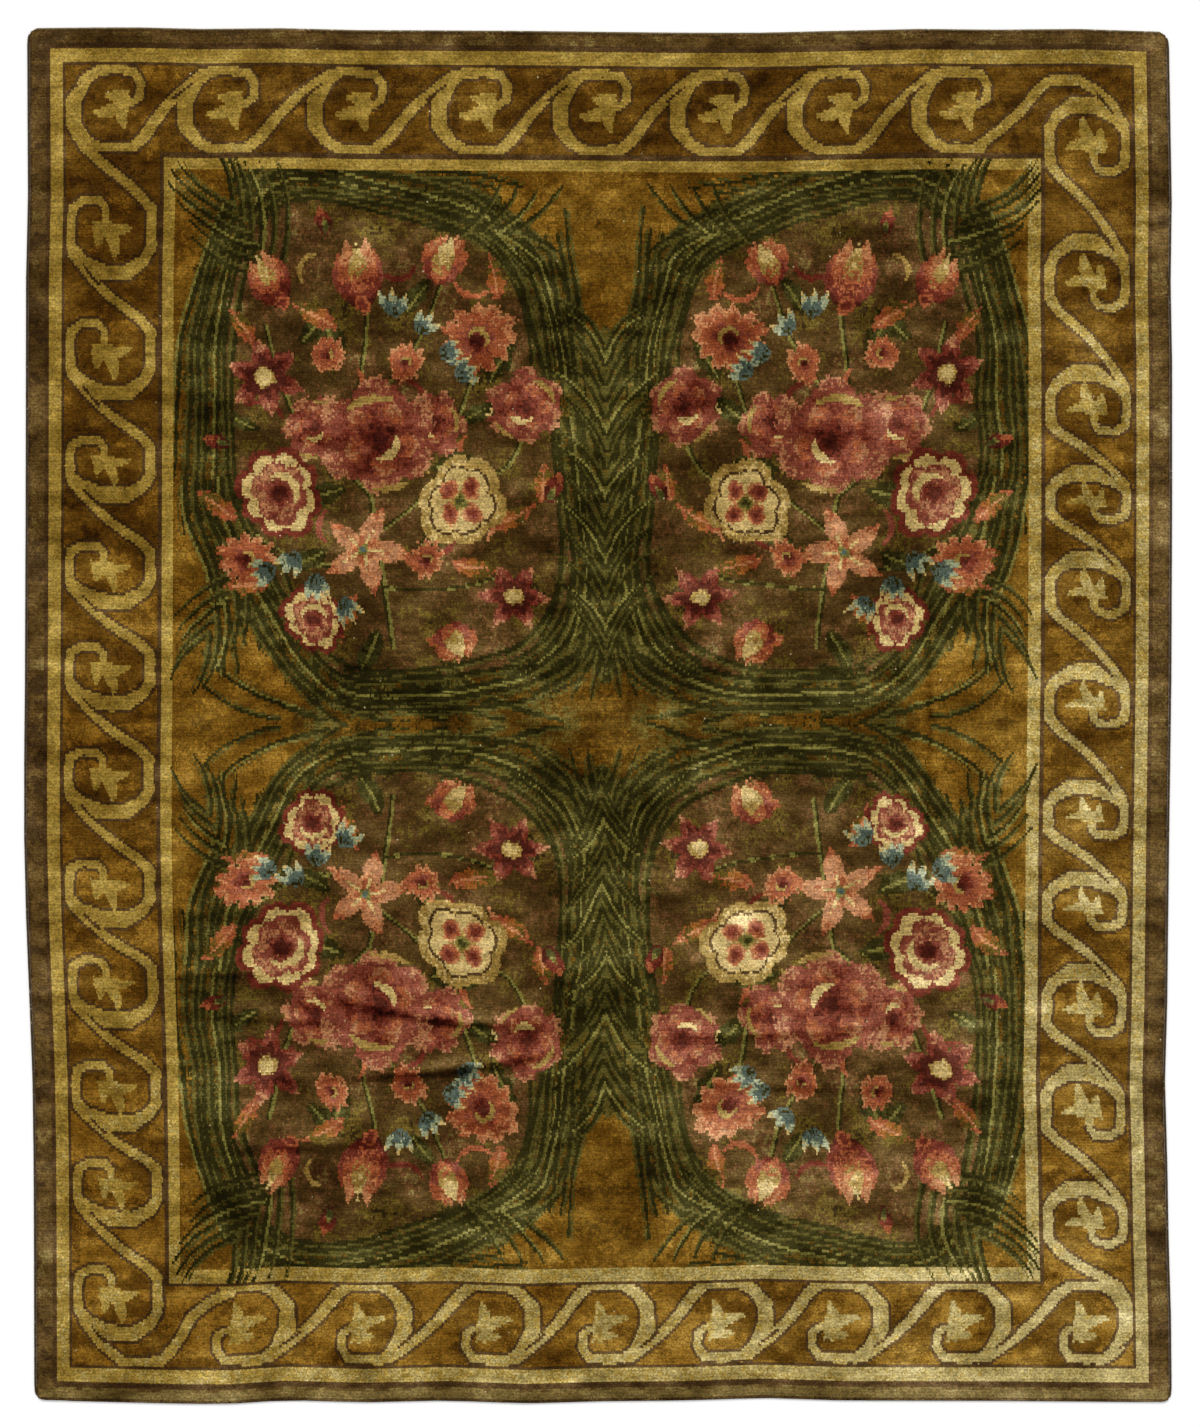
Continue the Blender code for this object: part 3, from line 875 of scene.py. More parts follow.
# %% Leaves
Sprig = namedtuple("Sprig", "x y heading size")
LEAVES = {
    green_leaf: (
        Sprig(0.70, 0.98, 1.0, 0.15), Sprig(0.74, 0.45, -0.6, 0.13), Sprig(0.50, 0.47, 2.6, 0.13),
        Sprig(0.80, 1.02, 2.2, 0.12), Sprig(0.38, 0.80, 2.4, 0.12), Sprig(0.93, 0.78, 0.4, 0.10),
        Sprig(0.60, 0.24, -1.2, 0.13), Sprig(0.53, 1.10, 2.0, 0.12), Sprig(0.30, 0.92, 1.9, 0.13),
        Sprig(0.70, 0.62, -0.3, 0.15), Sprig(0.46, 0.68, 2.9, 0.14),
    ),
    coral_leaf: (
        Sprig(0.99, 0.55, 0.9, 0.12), Sprig(0.72, 1.06, 0.7, 0.12), Sprig(0.40, 0.43, 3.5, 0.13),
        Sprig(0.29, 1.14, 1.6, 0.11), Sprig(0.66, 0.33, -1.0, 0.12), Sprig(0.94, 1.02, 1.2, 0.11),
        Sprig(0.30, 0.53, 2.9, 0.13), Sprig(0.17, 0.60, 1.9, 0.11), Sprig(0.90, 0.36, 0.2, 0.12),
        Sprig(0.47, 0.22, 3.4, 0.11),
    ),
}
for kind, leaves in LEAVES.items():
    for leaf in leaves:
        kind(*leaf)
    print(kind.__name__, len(leaves))

# %% Flowers
Bloom = namedtuple("Bloom", "kind x y size turn")
BLOOMS = (
    Bloom(full_rose, 0.455, 0.800, 0.092, 2.0),
    Bloom(full_rose, 0.770, 0.790, 0.098, 0.9),
    Bloom(full_rose, 0.605, 0.755, 0.160, 0.4),
    Bloom(ringed_rose, 0.865, 0.610, 0.122, 1.0),
    Bloom(pale_rose, 0.380, 0.590, 0.122, 0.2),
    Bloom(carnation, 0.335, 1.030, 0.098, 0.3),
    Bloom(star, 0.905, 0.925, 0.108, 0.35),
    Bloom(lily, 0.635, 0.455, 0.125, 0.55),
    Bloom(carnation, 0.950, 0.430, 0.078, 0.9),
    Bloom(star, 0.245, 0.335, 0.100, 0.1),
    Bloom(full_rose, 0.205, 0.845, 0.104, 1.4),
    Bloom(ringed_rose, 0.775, 0.275, 0.088, 0.3),
    Bloom(carnation, 0.535, 0.960, 0.052, 0.2),
    Bloom(carnation, 0.735, 0.985, 0.048, 1.2),
    Bloom(carnation, 0.480, 0.440, 0.050, 0.5),
)
BUDS_AND_CUPS = {
    tulip: (
        Sprig(0.640, 1.110, 1.40, 0.185), Sprig(0.850, 1.120, 1.05, 0.155),
    ),
    cup: (
        Sprig(0.450, 1.185, 1.95, 0.140), Sprig(0.425, 0.255, 4.19, 0.130),
    ),
    bud: (
        Sprig(0.150, 0.600, 2.01, 0.085), Sprig(1.010, 0.740, 0.35, 0.075), Sprig(0.740, 1.300, 1.31, 0.075),
    ),
    bell: (
        Sprig(0.500, 1.040, 2.2, 0.075), Sprig(0.440, 0.985, 3.0, 0.075), Sprig(0.560, 1.085, 1.5, 0.075),
        Sprig(0.395, 0.930, 2.7, 0.075), Sprig(0.815, 0.440, -0.9, 0.075), Sprig(0.875, 0.400, -0.2, 0.075),
        Sprig(0.770, 0.385, -1.7, 0.075), Sprig(0.700, 0.325, -2.2, 0.075),
    ),
}
for bloom in BLOOMS:
    bloom.kind(bloom.x, bloom.y, bloom.size, bloom.turn)
for kind, sprigs in BUDS_AND_CUPS.items():
    for sprig in sprigs:
        kind(*sprig)
print(len(BLOOMS) + sum(map(len, BUDS_AND_CUPS.values())), "flowers and buds in each quarter")

# %% Mirror the quarter into the field
MIDDLE_LINES = (0.018, -0.016)  # where the field's mirror lines lie on the rug
MIRROR_WAVER = 0.010
aside_x = abs(rug.x - MIDDLE_LINES[0] + MIRROR_WAVER * soft_noise(rug.x.shape, 40, 51))
aside_y = abs(rug.y - MIDDLE_LINES[1] + MIRROR_WAVER * soft_noise(rug.x.shape, 40, 52))
column = np.clip((aside_x / HALF_KNOT).astype(int), 0, quarter.codes.shape[1] - 1)
row = np.clip((aside_y / HALF_KNOT).astype(int), 0, quarter.codes.shape[0] - 1)
drawn = quarter.codes[row, column]
fillet = between(rug, INNER_LEFT[0], INNER_RIGHT[0], INNER_BOTTOM[0], INNER_TOP[0]) & ~field
rug.codes[field & (drawn == CLEAR)] = CODE["amber"]
laid = (drawn != CLEAR) & (field | (fillet & plumes[row, column]))
rug.codes[laid] = drawn[laid]
SPECKS = 0.00015  # share of the knots that are stray pale ones
rug.codes[np.random.default_rng(71).uniform(0, 1, rug.x.shape) < SPECKS] = CODE["speck"]
print("wools in use:", len(np.unique(rug.codes)))

# %% [markdown]
# The cloth's two layers.
# A knotted rug is one cloth: warps and wefts make a thin foundation, and each knot stands up from it as a
# tuft. The tufts could be millions of hairs, but from a step away they read as a soft surface, so the pile
# is a closed layer with one fine face, and the foundation is another below it. Both carry the chart, three
# by three knots in each face, packed as three numbers to the base of 32. The back shows the same knots,
# coarser and paler.

# %% Pack the chart
PACK = 3  # knots in a face, each way
BASE = 32  # there are no more wools than this
BACK_KNOTS = 2  # knots of the front in one of the back, each way


def pack(codes):
    """One vector a face: each of its numbers holds a row of three codes, the first in its lowest place."""
    rows, columns = codes.shape[0] // PACK, codes.shape[1] // PACK
    blocks = codes[: rows * PACK, : columns * PACK].reshape(rows, PACK, columns, PACK).transpose(0, 2, 1, 3)
    return (blocks * BASE ** np.arange(PACK)).sum(-1).reshape(-1, PACK).astype(np.float32)


front = rug.codes
back = front[::BACK_KNOTS, ::BACK_KNOTS]
print("faces with knots:", len(pack(front)), "above and", len(pack(back)), "below")

# %% Build a closed layer
RIM_UV = 0.004  # share of the UV square that the rim takes on each side
FOUNDATION = 0.0032  # thickness of the foundation

# A layer's name, half its size, its chart, how many fine cells go to a coarse one, whether its fine face
# looks up, and the heights of its two faces
Layer = namedtuple("Layer", "name half_x half_y codes step up fine_height coarse_height")


def cells(index):
    """The four corners of each cell of a grid, anticlockwise from above."""
    return np.stack([index[:-1, :-1], index[:-1, 1:], index[1:, 1:], index[1:, :-1]], -1).reshape(-1, 4)


def rim_of(index):
    """The indices round a grid's rim, anticlockwise from above."""
    return np.concatenate([index[0, :-1], index[:-1, -1], index[-1, :0:-1], index[:0:-1, 0]])


def surface(x, y, height):
    """The even rectangle's points moved to their places, at a height above the lifted floor."""
    placed_x, placed_y = place(x, y)
    return np.stack([placed_x, placed_y, lift(placed_x, placed_y) + height(x, y)], -1).reshape(-1, 3)


def closed_layer(layer):
    """A fine face with the chart, a coarse face behind it, and a lip of many-sided faces between them."""
    rows, columns = layer.codes.shape[0] // PACK, layer.codes.shape[1] // PACK
    part_x, part_y = np.meshgrid(np.linspace(0, 1, columns + 1), np.linspace(0, 1, rows + 1))
    x, y = (2 * part_x - 1) * layer.half_x, (2 * part_y - 1) * layer.half_y
    coarse = (slice(None, None, layer.step), slice(None, None, layer.step))
    points = np.concatenate([
        surface(x, y, layer.fine_height), surface(x[coarse], y[coarse], layer.coarse_height)
    ])
    index = np.arange(x.size).reshape(x.shape)
    behind = x.size + np.arange(x[coarse].size).reshape(x[coarse].shape)
    rim = np.append(rim_of(index), index[0, 0])
    rim_behind = np.append(rim_of(behind), behind[0, 0])
    lips = []
    for count in range(len(rim_behind) - 1):
        ahead = rim[count * layer.step : (count + 1) * layer.step + 1]
        lips.append([rim_behind[count], rim_behind[count + 1], *ahead[::-1]])
    faces = [*cells(index).tolist(), *cells(behind)[:, ::-1].tolist(), *lips]
    if not layer.up:
        faces = [face[::-1] for face in faces]
    mesh = bpy.data.meshes.new(layer.name)
    mesh.from_pydata(points.tolist(), [], [[int(corner) for corner in face] for face in faces])

    # UV: the fine face fills the square but for its rim, the lip lies round it, the coarse face is a thread
    inner = RIM_UV + (1 - 2 * RIM_UV) * np.stack([part_x, part_y], -1).reshape(-1, 2)
    outer = inner.reshape(*x.shape, 2)[coarse].reshape(-1, 2)
    outer = 0.5 + (outer - 0.5) * (1 - 0.2 * RIM_UV) / (1 - 2 * RIM_UV)
    thread = np.stack([outer[:, 0] * 0.05 * RIM_UV, outer[:, 1]], -1)
    corners = np.empty(len(mesh.loops), dtype=np.int32)
    mesh.loops.foreach_get("vertex_index", corners)
    uv = np.concatenate([inner, outer])[corners]
    first = 4 * rows * columns
    last = first + 4 * (len(behind) - 1) * (behind.shape[1] - 1)
    uv[first:last] = thread[corners[first:last] - x.size]
    mesh.uv_layers.new(name="OFBake").data.foreach_set("uv", uv.astype(np.float32).ravel())

    knots = np.full((len(mesh.polygons), PACK), CODE["guard dark"] * (1 + BASE + BASE**2), dtype=np.float32)
    knots[: rows * columns] = pack(layer.codes)
    mesh.attributes.new("knots", "FLOAT_VECTOR", "FACE").data.foreach_set("vector", knots.ravel())

    # Nap: painted sheen and shade, 0 where the tufts lean away from the eye and look dark, 1 where they lean
    #     towards it and look pale; along the crests it also carries their painted shade and highlight
    nap = 0.5 + 0.15 * soft_noise(x.shape, 14, 81, 1.5) + 0.20 * soft_noise(x.shape, 5, 82, 1.8)
    nap += 0.20 * soft_noise(x.shape, 2.0, 83, 2.0) + painted_crease_shade_and_highlight(*place(x, y))
    values = np.append(nap.ravel(), np.full(len(points) - x.size, 0.5)).astype(np.float32)
    mesh.attributes.new("nap", "FLOAT", "POINT").data.foreach_set("value", values)
    mesh.shade_smooth()
    mesh.set_sharp_from_angle(angle=math.radians(40))
    made = bpy.data.objects.new(layer.name, mesh)
    bpy.context.scene.collection.objects.link(made)
    return made

# %% Pile and foundation
LIP = 0.005  # height of the cloth at its rim
LIP_WIDTH = 0.004
PILE_RISE = 0.016  # the pile reaches its full height this far inside the lip
END_STRIP = 0.0045  # flat-woven cloth beyond the pile at both ends


def pile_height(x, y):
    """A bare lip at the rim, and then the pile rises in a quarter wave."""
    inside = np.minimum(HALF_WIDTH - abs(x), HALF_LENGTH - abs(y)) - LIP_WIDTH
    return LIP + (THICKNESS - LIP) * np.sin(np.clip(inside / PILE_RISE, 0, 1) * math.pi / 2)


def floor_height(x, y):
    """On the floor, or on the ripple."""
    return np.zeros(x.shape)


def foundation_height(x, y):
    """Just over the pile's own underside, so that no slit shows between them."""
    return np.full(x.shape, FOUNDATION + 0.0003)


def pile_underside(x, y):
    """The top of the foundation."""
    return np.full(x.shape, FOUNDATION)


pile = closed_layer(Layer(
    "pile", HALF_WIDTH - 0.0005, HALF_LENGTH - END_STRIP, front, 8, True, pile_height, pile_underside
))
foundation = closed_layer(Layer(
    "foundation", HALF_WIDTH - 0.001, HALF_LENGTH - 0.003, back, 4, False, floor_height, foundation_height
))
print("pile:", len(pile.data.polygons), "faces; foundation:", len(foundation.data.polygons), "faces")

# %% [markdown]
# Side cords and ends.
# Each long side is overcast: dark wool is wound round the outer warps, so the edge is a round cord with a
# wrap every few millimetres. The two ends are a narrow strip of flat weave that is turned under and sewn.
# All four are tubes whose radius rises and falls with the wraps.

# %% Wound tubes
TAPER = 0.010  # the tubes narrow this far from their ends
Winding = namedtuple("Winding", "name half_wide half_high pitch relief slant rings_per_pitch sides")


def wound_tube(path, winding):
    """A closed tube along a path of points: each ring is an ellipse, whose radii grow by relief * |sin| of
    the way along and round, which leaves a narrow groove between one wrap and the next."""
    run = np.append(0, np.cumsum(np.linalg.norm(np.diff(path, axis=0), axis=1)))
    wraps = int(run[-1] / winding.pitch)
    along = np.linspace(0, run[-1], wraps * winding.rings_per_pitch + 1)
    centre = np.stack([np.interp(along, run, path[:, axis]) for axis in range(3)], -1)
    forward = np.gradient(centre, axis=0)
    forward[:, 2] = 0
    forward /= np.linalg.norm(forward, axis=1)[:, None]
    aside = np.stack([forward[:, 1], -forward[:, 0], 0 * forward[:, 0]], -1)

    turn = (np.arange(winding.sides) + 0.5) * 2 * math.pi / winding.sides
    phase = along[:, None] / winding.pitch * math.pi + winding.slant * np.sin(turn)[None, :]
    uneven = 1 + 0.04 * soft_noise((len(along), 1), 3 * winding.rings_per_pitch, 91)
    from_end = np.minimum(along, run[-1] - along)[:, None]
    bound_off = np.interp(from_end, (0, TAPER), (0.4, 1))
    swell = (1 - winding.relief + winding.relief * abs(np.sin(phase))) * uneven * bound_off
    wide = winding.half_wide * np.cos(turn)[None, :] * swell
    high = winding.half_high * np.sin(turn)[None, :] * swell
    points = centre[:, None, :] + aside[:, None, :] * wide[:, :, None]
    points[:, :, 2] += high

    index = np.arange(points.shape[0] * winding.sides).reshape(-1, winding.sides)
    following = np.roll(index, -1, axis=1)
    walls = np.stack([index[:-1], following[:-1], following[1:], index[1:]], -1).reshape(-1, 4)
    faces = [*walls.tolist(), index[0, ::-1].tolist(), index[-1].tolist()]
    mesh = bpy.data.meshes.new(winding.name)
    mesh.from_pydata(points.reshape(-1, 3).tolist(), [], faces)
    mesh.shade_smooth()
    made = bpy.data.objects.new(winding.name, mesh)
    bpy.context.scene.collection.objects.link(made)
    return made

# %% Cords and ends
CORD_FROM_END = 0.014  # the cords stop this far short of the ends
TUCK = 0.03  # they are drawn in towards the cloth over this length
END_HALF_WIDE, END_HALF_HIGH = 0.0034, 0.0024
TUCKED = {1: 0.0, -1: 0.0035}  # the bottom strip is turned further under
cords, ends = [], []
along_side = np.linspace(CORD_FROM_END - HALF_LENGTH, HALF_LENGTH - CORD_FROM_END, 240)
for name, side in (("selvedge_left_overcast", -1), ("selvedge_right_overcast", 1)):
    edge_x, edge_y = place(np.full(along_side.shape, side * HALF_WIDTH), along_side)
    from_end = HALF_LENGTH - abs(along_side)
    offset = np.interp(from_end, (CORD_FROM_END, CORD_FROM_END + TUCK), (CORD / 5, CORD / 2))
    path = np.stack([edge_x + side * (GAP + offset), edge_y, lift(edge_x, edge_y) + CORD / 2], -1)
    winding = Winding(
        name, CORD / 2, CORD / 2, pitch=0.0052, relief=0.13, slant=0.5, rings_per_pitch=4, sides=10
    )
    cords.append(wound_tube(path, winding))
along_end = np.linspace(0.004 - HALF_WIDTH, HALF_WIDTH - 0.004, 200)
for name, end in (("end_top", 1), ("end_bottom", -1)):
    edge_x, edge_y = place(along_end, np.full(along_end.shape, end * HALF_LENGTH))
    inward = end * (END_HALF_WIDE + TUCKED[end])
    path = np.stack([edge_x, edge_y - inward, lift(edge_x, edge_y) + END_HALF_HIGH], -1)
    winding = Winding(
        name, END_HALF_WIDE, END_HALF_HIGH, pitch=0.0037, relief=0.10, slant=0.2, rings_per_pitch=3, sides=10
    )
    ends.append(wound_tube(path, winding))
print("faces in a cord:", len(cords[0].data.polygons), "- in an end:", len(ends[0].data.polygons))

# %% [markdown]
# The wool.
# Hand-spun, plant-dyed wool is never one flat colour: neighbouring knots differ, and whole rows differ where
# a new batch of yarn begins. The nap also leans in patches, so it looks pale here and dark there. The chart
# gives each knot its wool, and the material adds those two kinds of unevenness, the nap's patches as painted
# sheen and shade, painted shade in the grooves between rows, a painted light that brightens and pales the
# lower right, and the bump of the tufts.

# %% Shorthand for nodes
def node(tree, kind, inputs=(), **settings):
    """A node with its settings. Its inputs are (socket, value or socket) pairs."""
    made = tree.nodes.new("ShaderNode" + kind)
    for name, value in settings.items():
        setattr(made, name, value)
    for socket, value in inputs:
        if isinstance(value, bpy.types.NodeSocket):
            tree.links.new(value, made.inputs[socket])
        else:
            made.inputs[socket].default_value = value
    return made


def reckon(tree, operation, *values):
    """The result of a Math node."""
    return node(tree, "Math", enumerate(values), operation=operation).outputs[0]


def noise(tree, vector, scale, detail=2.0, roughness=0.5):
    """A noise texture's value."""
    inputs = (("Vector", vector), ("Scale", scale), ("Detail", detail), ("Roughness", roughness))
    return node(tree, "TexNoise", inputs).outputs["Fac"]


def start_material(name, roughness, sheen):
    """A new material: its tree and its shader."""
    made = bpy.data.materials.new(name)
    made.use_nodes = True
    shader = made.node_tree.nodes["Principled BSDF"]
    shader.inputs["Roughness"].default_value = roughness
    shader.inputs["Specular IOR Level"].default_value = 0.04
    shader.inputs["Sheen Weight"].default_value = sheen
    shader.inputs["Sheen Roughness"].default_value = 0.6
    return made, made.node_tree, shader

# %% Find a knot and its wool
HAIR_REACH = 1.1  # how far the tufts' hairs blur the edges of the drawing, in knots


def in_knots(tree, share, count):
    """The way along one side of the chart, in knots, from the share of the UV square inside its rim."""
    inputs = ((0, share), (1, RIM_UV), (2, 1 - RIM_UV), (3, 0.0), (4, 0.999999))
    return reckon(tree, "MULTIPLY", node(tree, "MapRange", inputs).outputs[0], float(count))


def wool_here(tree, across, up, place_here):
    """The wool's colour. A face's three numbers each hold a row of codes, so the row's number is picked
    first, and then the code: the number over the base to the power of the place, without its fraction,
    modulo the base."""
    hairs = (("Vector", place_here), ("Scale", 230.0), ("Detail", 2.0))
    hairs = node(tree, "SeparateColor", ((0, node(tree, "TexNoise", hairs).outputs["Color"]),)).outputs
    in_face = []
    for axis, value in enumerate((across, up)):
        shifted = reckon(tree, "MODULO", value, float(PACK))
        shifted = reckon(tree, "MULTIPLY_ADD", hairs[axis], HAIR_REACH, shifted)
        shifted = reckon(tree, "SUBTRACT", shifted, 0.5 * HAIR_REACH)
        kept = node(tree, "Clamp", ((0, shifted), (1, 0.0), (2, PACK - 0.001))).outputs[0]
        in_face.append(reckon(tree, "FLOOR", kept))
    packed = node(tree, "Attribute", attribute_name="knots").outputs["Vector"]
    packed = node(tree, "SeparateXYZ", ((0, packed),)).outputs
    row = 0.0
    for count in range(PACK):
        here = reckon(tree, "COMPARE", in_face[1], float(count), 0.1)
        row = reckon(tree, "MULTIPLY_ADD", here, packed[count], row)
    code = reckon(tree, "DIVIDE", row, reckon(tree, "POWER", float(BASE), in_face[0]))
    code = reckon(tree, "MODULO", reckon(tree, "FLOOR", code), float(BASE))

    # A ramp with one flat stop for each wool turns the code into a colour
    stop_here = reckon(tree, "DIVIDE", reckon(tree, "ADD", code, 0.5), float(BASE))
    ramp = node(tree, "ValToRGB", ((0, stop_here),))
    ramp.color_ramp.interpolation = "CONSTANT"
    stops = ramp.color_ramp.elements
    while len(stops) < len(WOOLS):
        stops.new(1.0)
    for count, wool in enumerate(WOOLS):
        stops[count].position = count / BASE
        stops[count].color = (*linear(wool.colour), 1)
    return ramp.outputs[0]

# %% Knotted wool
HAIR_CHANGE = 1.10  # how much the hairs' own light and dark changes the colour
PAINTED_LIGHT_GAIN = 0.13  # how much brighter the painted light makes the lower right
ROW_GROOVE_SHADE = 0.16  # how much darker the painted shade in the groove between two pairs of rows is
DARKEST = 0.3  # no painted nap shade is darker than this share of its wool
KNOT_HEIGHT = 0.0012  # of the bump
# How each cloth is dressed: the range, patches and paling of the nap's painted sheen, the paling of the
# painted light towards the lower right, the wool's own change by knot and by row, and the bump
PaintedLightAndUnevenness = namedtuple("PaintedLightAndUnevenness", "dark light fading nap_fading mottle knot_change row_change bump")


def knotted_wool(name, columns, rows, painted_light_and_unevenness):
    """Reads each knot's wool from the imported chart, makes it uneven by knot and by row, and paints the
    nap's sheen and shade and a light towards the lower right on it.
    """
    made, tree, shader = start_material(name, 0.95, 0.0)
    uv = node(tree, "UVMap", uv_map="OFBake").outputs[0]
    uv = node(tree, "SeparateXYZ", ((0, uv),)).outputs
    across, up = in_knots(tree, uv[0], columns), in_knots(tree, uv[1], rows)
    place_here = node(tree, "TexCoord").outputs["Object"]
    wool = wool_here(tree, across, up, place_here)

    # Unevenness and painted sheen: white noise by knot, noise drawn out along a row, and two noises over the
    #     surface, one for the patches of the nap's painted sheen and one for the hairs
    knot = [reckon(tree, "FLOOR", value) for value in (across, up)]
    by_knot = node(tree, "CombineXYZ", enumerate(knot)).outputs[0]
    change = node(tree, "TexWhiteNoise", ((0, by_knot),), noise_dimensions="2D").outputs[0]
    far_across = reckon(tree, "MULTIPLY", across, 0.02)
    row_change = noise(tree, node(tree, "CombineXYZ", ((0, far_across), (1, knot[1]))).outputs[0], 0.9, 1.0)
    stretch = ((0, place_here), (1, (0.55, 1, 1)))
    stretched = node(tree, "VectorMath", stretch, operation="MULTIPLY").outputs[0]
    mottle = noise(tree, stretched, 16.0, 7.0, 0.76)
    hair = noise(tree, stretched, 130.0, 4.0, 0.78)

    # The nap leans in patches, and its painted sheen and shade brighten or darken the wool
    nap = node(tree, "Attribute", attribute_name="nap").outputs["Fac"]
    nap = reckon(tree, "MULTIPLY_ADD", mottle, painted_light_and_unevenness.mottle, reckon(tree, "SUBTRACT", nap, 0.5 * painted_light_and_unevenness.mottle))
    bright = node(
        tree, "MapRange", ((0, nap), (1, 0.25), (2, 0.75), (3, painted_light_and_unevenness.dark), (4, painted_light_and_unevenness.light)), clamp=False
    ).outputs[0]
    bright = reckon(tree, "MAXIMUM", bright, DARKEST)
    for value, amount in ((change, painted_light_and_unevenness.knot_change), (row_change, painted_light_and_unevenness.row_change), (hair, HAIR_CHANGE)):
        factor = reckon(tree, "MULTIPLY_ADD", value, 2 * amount, 1 - amount)
        bright = reckon(tree, "MULTIPLY", bright, factor)

    # Painted sheen pales the wool and weakens its colour where its nap leans to the light, and painted light
    #     brightens and pales the rug's lower right. A power under 1 does both, to dark wools more than to
    #     pale ones.
    painted_light = reckon(tree, "MULTIPLY_ADD", uv[1], -0.45, reckon(tree, "MULTIPLY_ADD", uv[0], 0.55, 0.45))
    leaning = reckon(tree, "MULTIPLY_ADD", nap, -painted_light_and_unevenness.nap_fading, 1 + 0.5 * painted_light_and_unevenness.nap_fading)
    power = reckon(tree, "MULTIPLY_ADD", painted_light, -painted_light_and_unevenness.fading, leaning)
    bright = reckon(tree, "MULTIPLY", bright, reckon(tree, "MULTIPLY_ADD", painted_light, PAINTED_LIGHT_GAIN, 1.0))
    # Painted shade in the groove between two pairs of rows
    groove_shade = reckon(tree, "COSINE", reckon(tree, "MULTIPLY", up, math.pi))
    bright = reckon(tree, "MULTIPLY", bright, reckon(tree, "MULTIPLY_ADD", groove_shade, -0.5 * ROW_GROOVE_SHADE, 1.0))
    paled_by_sheen_and_light = node(tree, "Gamma", ((0, wool), (1, power))).outputs[0]
    coloured_with_painted_light = node(tree, "VectorMath", ((0, paled_by_sheen_and_light), ("Scale", bright)), operation="SCALE").outputs[0]
    tree.links.new(coloured_with_painted_light, shader.inputs["Base Color"])

    # Each knot is a low mound, 16 * x * (1 - x) * y * (1 - y) high, with hairs on it
    mound = 16.0
    for value in (across, up):
        part = reckon(tree, "FRACT", value)
        arch = reckon(tree, "MULTIPLY", part, reckon(tree, "SUBTRACT", 1.0, part))
        mound = reckon(tree, "MULTIPLY", mound, arch)
    tuft = reckon(tree, "MULTIPLY_ADD", change, 0.4, hair)
    tuft = reckon(tree, "MULTIPLY_ADD", mound, 0.5, tuft)
    bump = node(tree, "Bump", (("Height", tuft), ("Strength", painted_light_and_unevenness.bump), ("Distance", KNOT_HEIGHT)))
    tree.links.new(bump.outputs[0], shader.inputs["Normal"])
    return made


pile_painted_light_and_unevenness = PaintedLightAndUnevenness(
    dark=0.82, light=1.26, fading=0.20, nap_fading=0.50, mottle=1.1,
    knot_change=0.36, row_change=0.27, bump=0.5
)
back_painted_light_and_unevenness = PaintedLightAndUnevenness(
    dark=0.95, light=1.05, fading=0.30, nap_fading=0.10, mottle=0.3,
    knot_change=0.10, row_change=0.20, bump=0.8
)
pile.data.materials.append(knotted_wool("knotted_pile", KNOTS_ACROSS, KNOTS_UP, pile_painted_light_and_unevenness))
foundation.data.materials.append(
    knotted_wool("knotted_back", KNOTS_ACROSS // BACK_KNOTS, KNOTS_UP // BACK_KNOTS, back_painted_light_and_unevenness)
)

# %% Cord and flat weave
def yarn(name, dark, light, fleck, fleck_from, fibre):
    """Wool yarn: two browns in patches, with worn pale flecks where a noise is above fleck_from."""
    made, tree, shader = start_material(name, 0.88, 0.0)
    place_here = node(tree, "TexCoord").outputs["Object"]
    patches = noise(tree, place_here, 26.0, 3.0)
    mixed = node(tree, "Mix", ((0, patches), (6, (*dark, 1)), (7, (*light, 1))), data_type="RGBA").outputs[2]
    worn = noise(tree, place_here, 90.0, 2.0)
    edge = ((0, worn), (1, fleck_from), (2, fleck_from + 0.05), (3, 0.0), (4, 1.0))
    worn = node(tree, "MapRange", edge).outputs[0]
    mixed = node(tree, "Mix", ((0, worn), (6, mixed), (7, (*fleck, 1))), data_type="RGBA").outputs[2]
    tree.links.new(mixed, shader.inputs["Base Color"])
    fibres = noise(tree, place_here, fibre, 3.0)
    bump = node(tree, "Bump", (("Height", fibres), ("Strength", 0.4), ("Distance", 0.0006)))
    tree.links.new(bump.outputs[0], shader.inputs["Normal"])
    return made


overcast = yarn(
    "overcast_wool", (0.044, 0.027, 0.011), (0.085, 0.054, 0.024), (0.25, 0.20, 0.12), 0.66, 900.0
)
flat_weave = yarn(
    "flat_weave", (0.085, 0.062, 0.030), (0.23, 0.175, 0.088), (0.33, 0.27, 0.17), 0.62, 700.0
)
for cord in cords:
    cord.data.materials.append(overcast)
for end in ends:
    end.data.materials.append(flat_weave)

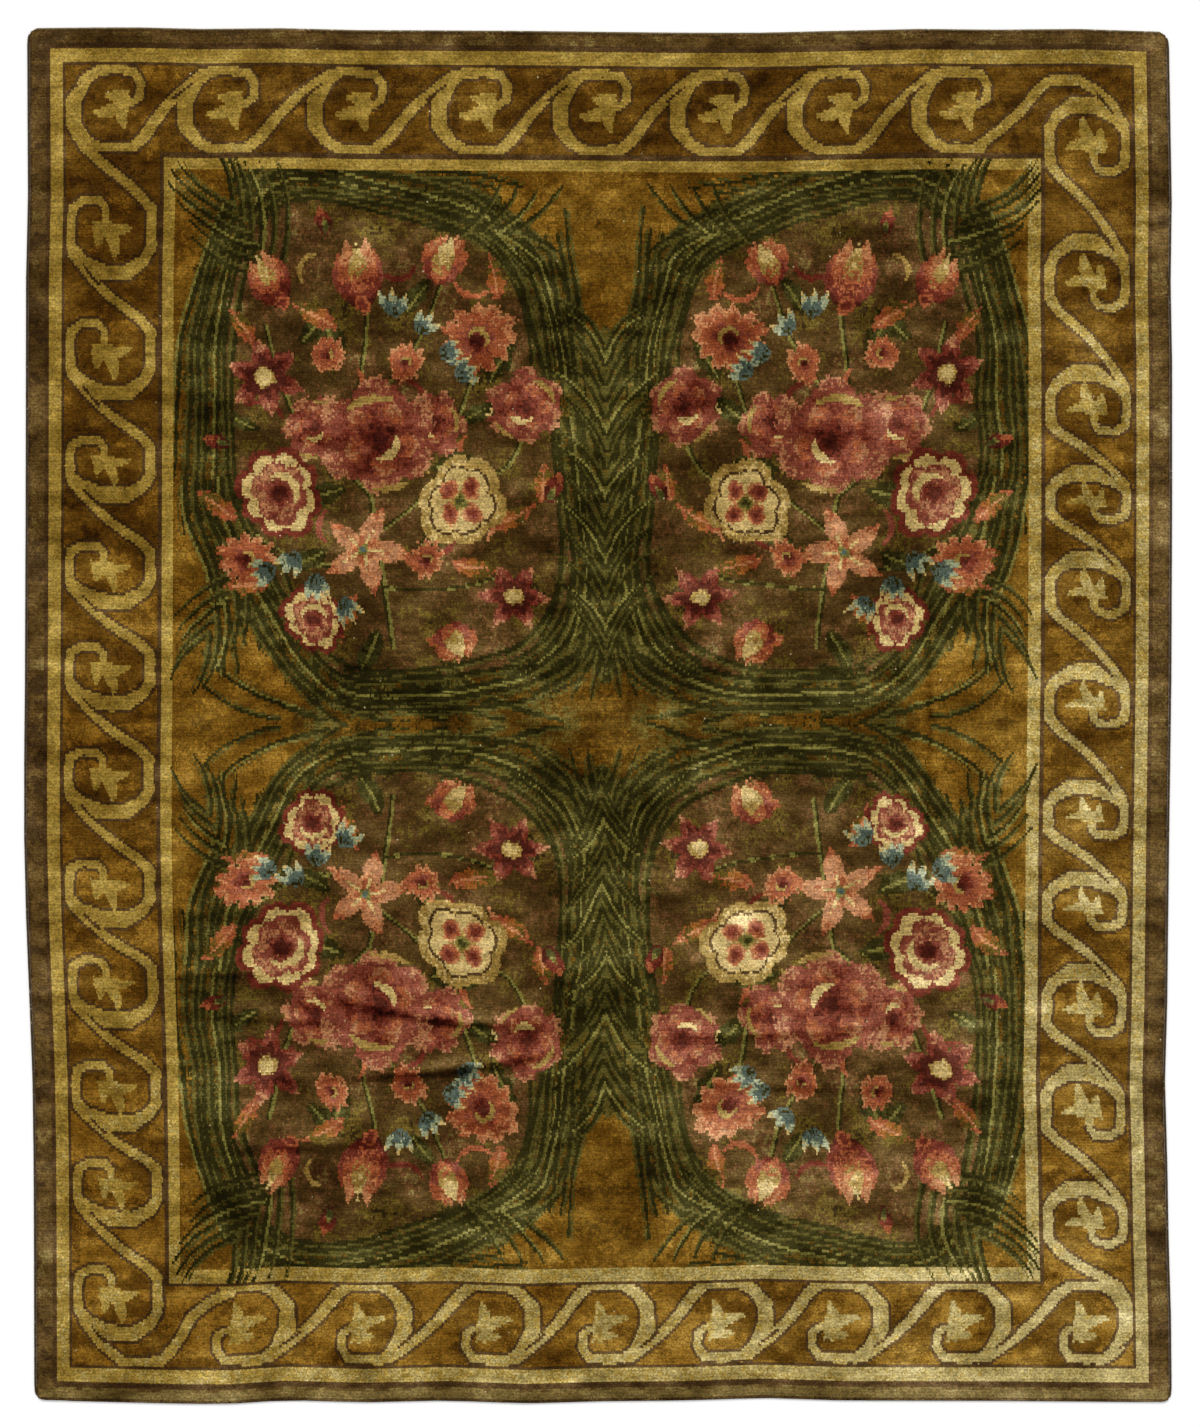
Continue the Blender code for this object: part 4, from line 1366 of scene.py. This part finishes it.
# %% Frame links
for piece in (pile, foundation, *cords, *ends):
    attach(piece, "root")
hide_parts("rug_body")
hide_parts("selvedge_left")
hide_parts("selvedge_right")

# %% [markdown]
# The studio.
# The rug lies on a white floor and is seen from straight above, under soft light from all round, with a
# little more from beyond its top end, which shades the ripples.

# %% Floor, light and camera
FLOOR_HALF = 40.0
FLOOR_Z = -0.0002  # just under the rug
floor_mesh = bpy.data.meshes.new("floor")
corners = [(FLOOR_HALF * x, FLOOR_HALF * y, FLOOR_Z) for x, y in ((-1, -1), (1, -1), (1, 1), (-1, 1))]
floor_mesh.from_pydata(corners, [], [(0, 1, 2, 3)])
floor = bpy.data.objects.new("floor", floor_mesh)
bpy.context.scene.collection.objects.link(floor)
white, _, white_shader = start_material("white_floor", 0.9, 0.0)
white_shader.inputs["Base Color"].default_value = (0.93, 0.93, 0.93, 1)
white_shader.inputs["Emission Color"].default_value = (1, 1, 1, 1)
white_shader.inputs["Emission Strength"].default_value = 0.09
floor_mesh.materials.append(white)

scene = bpy.context.scene
world = bpy.data.worlds.new("studio")
world.use_nodes = True
world.node_tree.nodes["Background"].inputs["Color"].default_value = (1, 1, 1, 1)
world.node_tree.nodes["Background"].inputs["Strength"].default_value = 0.62
scene.world = world
sun = bpy.data.lights.new("sky_light", "SUN")
sun.energy = 1.9
sun.angle = math.radians(25)
sun_object = bpy.data.objects.new("sky_light", sun)
sun_object.rotation_euler = (math.radians(-48), math.radians(-12), 0)
scene.collection.objects.link(sun_object)

VIEW_HEIGHT = 3.807  # metres of floor from the photograph's bottom to its top
CAMERA_HEIGHT = 9.0
SENSOR = 36.0
lens = bpy.data.cameras.new("camera")
lens.sensor_fit = "VERTICAL"
lens.sensor_height = SENSOR
lens.lens = SENSOR * CAMERA_HEIGHT / VIEW_HEIGHT
camera = bpy.data.objects.new("camera", lens)
camera.location = (0.005, 0.007, CAMERA_HEIGHT)
scene.collection.objects.link(camera)
scene.camera = camera
scene.view_settings.view_transform = "Standard"
